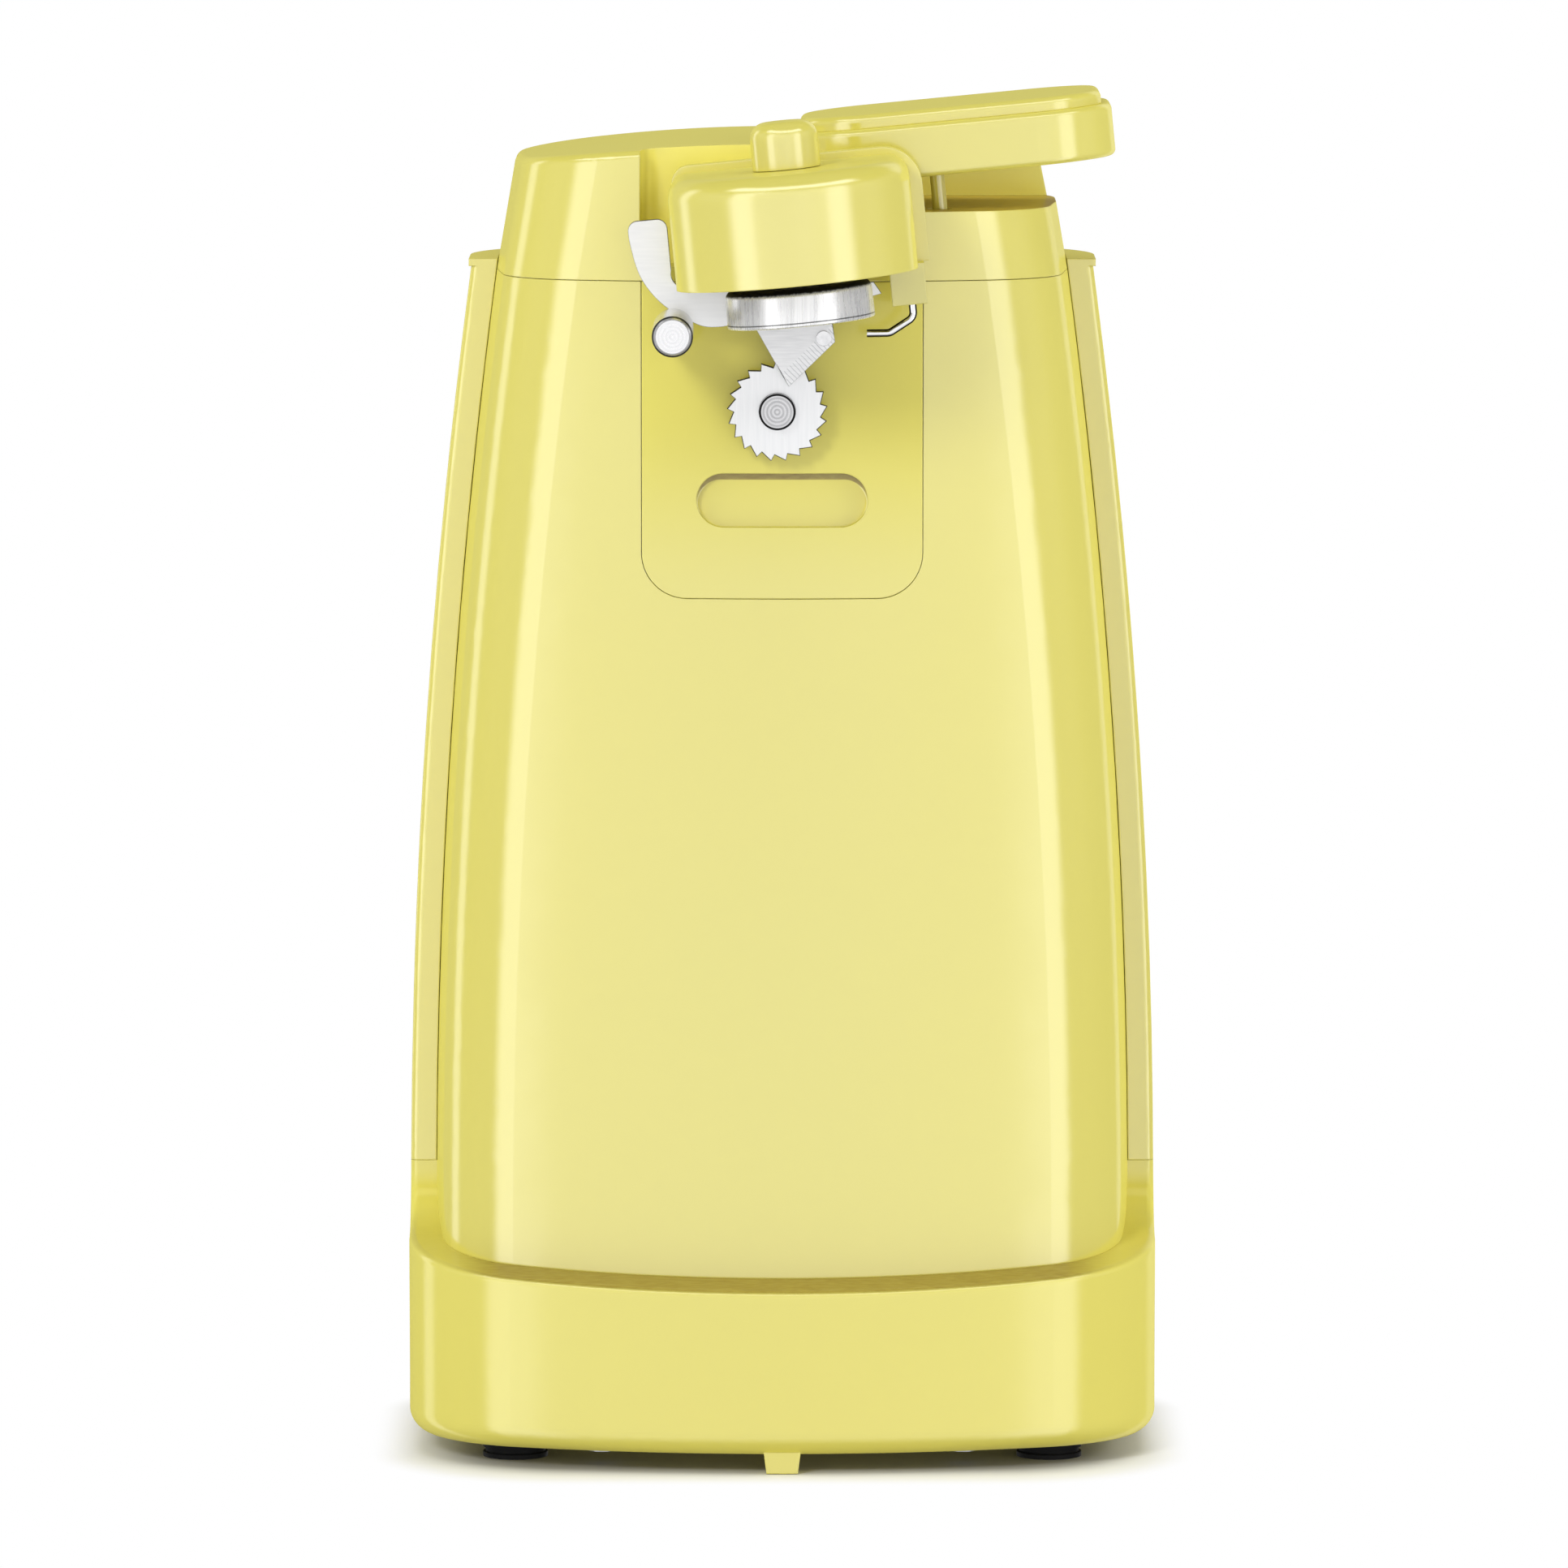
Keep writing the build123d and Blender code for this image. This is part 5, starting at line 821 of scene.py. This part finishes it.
def dressParts():
    ledgeShelf = zones["ledgeShelf"], yellow["ledge"]
    deckShelf = zones["deckShelf"], yellow["deck"]
    boss = yellowPlastic("yellowPlasticBoss", gloss=1.15, soft=0.03)
    bar = brightBar("platedBar", *tones["plated"], roughness=0.12)
    postAt = pivot + (guide["u"] * along + guide["v"] * upward) * mm
    postAxis = postAt[0], postAt[2]
    bySlot = {
        "yellow_plastic": yellowPlastic("yellowPlastic"),
        "black_rubber": blackRubber(),
        "bright_steel": bar,
        "chrome": bar,
    }
    bySlot.update((slot, speckled(*finish)) for slot, finish in inner.items())
    bySlot.update((slot, layered(*finish)) for slot, finish in lined.items())
    byNode = {
        # painted shade on the base's shelf; sheen cut on the shoulders to paint out a highlight
        "base": yellowPlastic("yellowPlasticLedge", ledgeShelf, (besideFoot, None), gloss=0.65),
        # painted shade on the notch floor; painted light and cut sheen on the pocket's deep walls
        "top_housing": yellowPlastic("yellowPlasticDeck", deckShelf, (deepWall, yellow["pale"])),
        # sheen cut towards the hood as painted shade; painted shade and highlight at the recess
        "front_insert": yellowPlastic("yellowPlasticInsert", calm=(underHood, None), slot=True),
        "magnet_housing": boss,
        "magnet_knob": boss,
        "cutter_plate": sheetSteel("plateSteel", plate["brushScale"], plate["brushTurn"]),
        "drive_spindle": turnedSteel("turnedSpindle", driveAxis, spindle["rim"], tones["spindle"]),
        "guide_post": turnedSteel("turnedPost", postAxis, guide["rim"], tones["post"]),
        "rim_wire": brightBar("bentWire", *tones["post"], roughness=0.08, flank=tones["flank"]),
    }
    for part in frame["record"]["subparts"]:
        piece = nodes[part["node"]]
        piece.data.materials.clear()
        piece.data.materials.append(byNode.get(part["node"], bySlot[part["material_slot"]]))


# stage, light and camera

floorPlan = {
    "size": 6.0,
    "foot": (36 * mm, 24 * mm, 16 * mm),  # half width, half depth, middle
    "fade": (23 * mm, 33 * mm),
    "dark": (12 * mm, 25 * mm),
    "under": (0.4, 0.39, 0.36, 1),
    "paper": ((0.88, 0.88, 0.88, 1), (0.91, 0.91, 0.91, 1)),
    "paperScale": 60.0,
}


def makeStage():
    # lit paper with a painted shadow under the part, fading to plain white away from it
    half = floorPlan["size"] / 2
    corners = [(-half, -half, 0), (half, -half, 0), (half, half, 0), (-half, half, 0)]
    material, flow = newFinish("paleFloor")
    seen = flow.node("ShaderNodeLightPath", out="Is Camera Ray")
    fibre = noise(flow, point(flow), floorPlan["paperScale"], 2.0)
    paper = blendColour(fibre, *floorPlan["paper"])
    wide, deep, middle = floorPlan["foot"]
    aside = positive(absolute(coordinate(flow, "X")) - wide)
    before = positive(absolute(coordinate(flow, "Y") - middle) - deep)
    away = hypotenuse(aside, before)
    # painted shadow: the paper darkened close to the part
    paper = blendColour(rise(away, *floorPlan["dark"]), floorPlan["under"], paper)
    shade = flow.node("ShaderNodeBsdfDiffuse", {"Color": paper}, out="BSDF")
    inputs = {"Color": (1, 1, 1, 1), "Strength": 1.0}
    white = flow.node("ShaderNodeEmission", inputs, out="Emission")
    plain = seen * rise(away, *floorPlan["fade"])
    endTree(flow, flow.node("ShaderNodeMixShader", {0: plain, 1: shade, 2: white}))
    mesh = bpy.data.meshes.new("floor")
    mesh.from_pydata(corners, [], [(0, 1, 2, 3)])
    mesh.materials.append(material)
    floor = bpy.data.objects.new("floor", mesh)
    floor.visible_glossy = False
    bpy.context.scene.collection.objects.link(floor)


# brightness of the surroundings: diffuse for plain light, the others as mirrors see them;
# spans are degrees round from the front, left negative, or heights from -1 to 1, and a
# third number is the fade

studio = {
    "diffuse": 0.34,
    "front": 1.05,
    "frontEdge": (58, 64),
    "strip": 0.74,
    "stripSpan": (36, 57, 2),
    "lid": 2.4,
    "lidSpan": (0.62, 0.8, 0.03),
    "lidEdge": (70, 85),
    "side": 0.28,
    "rim": 1.2,
    "rimSpan": (-128, -114, 3),
    "rightRim": 0.6,
    "rightRimSpan": (142, 170, 4),
    "back": 0.35,
    "backEdge": (134, 152),
    "above": 0.1,
    "aboveEdge": (0.4, 0.6),
    "below": 0.08,
    "belowEdge": (-0.95, -0.45),
}


def makeWorld():
    # mirrors see a white front with a brighter strip at each side, a bar of light above it, dim
    # sides with a rim strip on the left and one further back on the right, a soft back, a
    # dark ceiling and a grey floor
    world = bpy.data.worlds.new("studio")
    world.use_nodes = True
    world.node_tree.nodes.clear()
    flow = Flow(world.node_tree)
    direction = flow.node("ShaderNodeTexCoord", out="Generated")
    sideways = axisOf(flow, direction, "X")
    forward = axisOf(flow, direction, "Y")
    height = axisOf(flow, direction, "Z")
    azimuth = flow.maths("ARCTAN2", sideways, -1 * forward) * (180 / math.pi)
    turned = absolute(azimuth)
    side = studio["side"]
    around = side + (studio["front"] - side) * (1 - rise(turned, *studio["frontEdge"]))
    around = around + studio["strip"] * band(turned, *studio["stripSpan"])
    around = around + studio["rim"] * band(azimuth, *studio["rimSpan"])
    around = around + studio["rightRim"] * band(azimuth, *studio["rightRimSpan"])
    around = around + (studio["back"] - side) * rise(turned, *studio["backEdge"])
    high = rise(height, *studio["aboveEdge"])
    low = 1 - rise(height, *studio["belowEdge"])
    mirror = around + high * (studio["above"] - around) + low * (studio["below"] - around)
    lid = band(height, *studio["lidSpan"]) * (1 - rise(turned, *studio["lidEdge"]))
    mirror = mirror + lid * (studio["lid"] - mirror)
    seen = flow.node("ShaderNodeLightPath", out="Is Camera Ray")
    glossy = flow.node("ShaderNodeLightPath", out="Is Glossy Ray")
    level = studio["diffuse"] * (1 - glossy) + mirror * glossy
    strength = seen + (1 - seen) * level
    ground = flow.node("ShaderNodeBackground", {"Color": (1, 1, 1, 1), "Strength": strength})
    end = world.node_tree.nodes.new("ShaderNodeOutputWorld")
    world.node_tree.links.new(ground.socket, end.inputs["Surface"])
    bpy.context.scene.world = world


# place and side in metres, power in watts

lamps = {
    "keyLeft": ((-0.75, -1.4, 1.0), 0.45, 11.0),
    "softFront": ((0.5, -2.5, 0.4), 0.8, 5.0),
    "softLeft": ((-1.71, -0.3, 0.6), 1.1, 10.0),
    "softRight": ((1.71, -0.3, 0.6), 1.1, 16.5),
    "softTop": ((0.1, 0.0, 1.6), 1.4, 7.5),
}
lampAim = Vector((0, 0, 0.11))


def turnTo(thing, way):
    thing.rotation_euler = way.to_track_quat("-Z", "Y").to_euler()


def makeLamps():
    # they shape the shading, and are left out of reflections
    for name, (place, size, power) in lamps.items():
        lamp = bpy.data.lights.new(name, "AREA")
        lamp.shape = "RECTANGLE"
        lamp.size, lamp.size_y = size, size
        lamp.energy = power
        thing = bpy.data.objects.new(name, lamp)
        thing.location = place
        turnTo(thing, lampAim - Vector(place))
        thing.visible_glossy = False
        bpy.context.scene.collection.objects.link(thing)


view = {
    "place": (0.0003, -2.096, 0.330),
    "aim": (0.0003, 0.004, 0.11126),
    "width": 0.2618,
    "sensor": 36.0,
    "clip": 50.0,
}


def makeCamera():
    # the lens makes the frame as wide as the view where it aims
    camera = bpy.data.cameras.new("camera")
    thing = bpy.data.objects.new("camera", camera)
    reach = Vector(view["aim"]) - Vector(view["place"])
    camera.sensor_width = view["sensor"]
    camera.lens = view["sensor"] * reach.length / view["width"]
    camera.clip_end = view["clip"]
    thing.location = view["place"]
    turnTo(thing, reach)
    bpy.context.scene.collection.objects.link(thing)
    bpy.context.scene.camera = thing


makeBlade()
makeWheel()
makeCup()
print("pieces: blade, wheel, cup")
dressParts()
shortenSpring()
print("finishes: on every part")
makeStage()
makeWorld()
makeLamps()
makeCamera()
bpy.context.scene.view_settings.view_transform = "Standard"
print("stage: floor, light, camera")
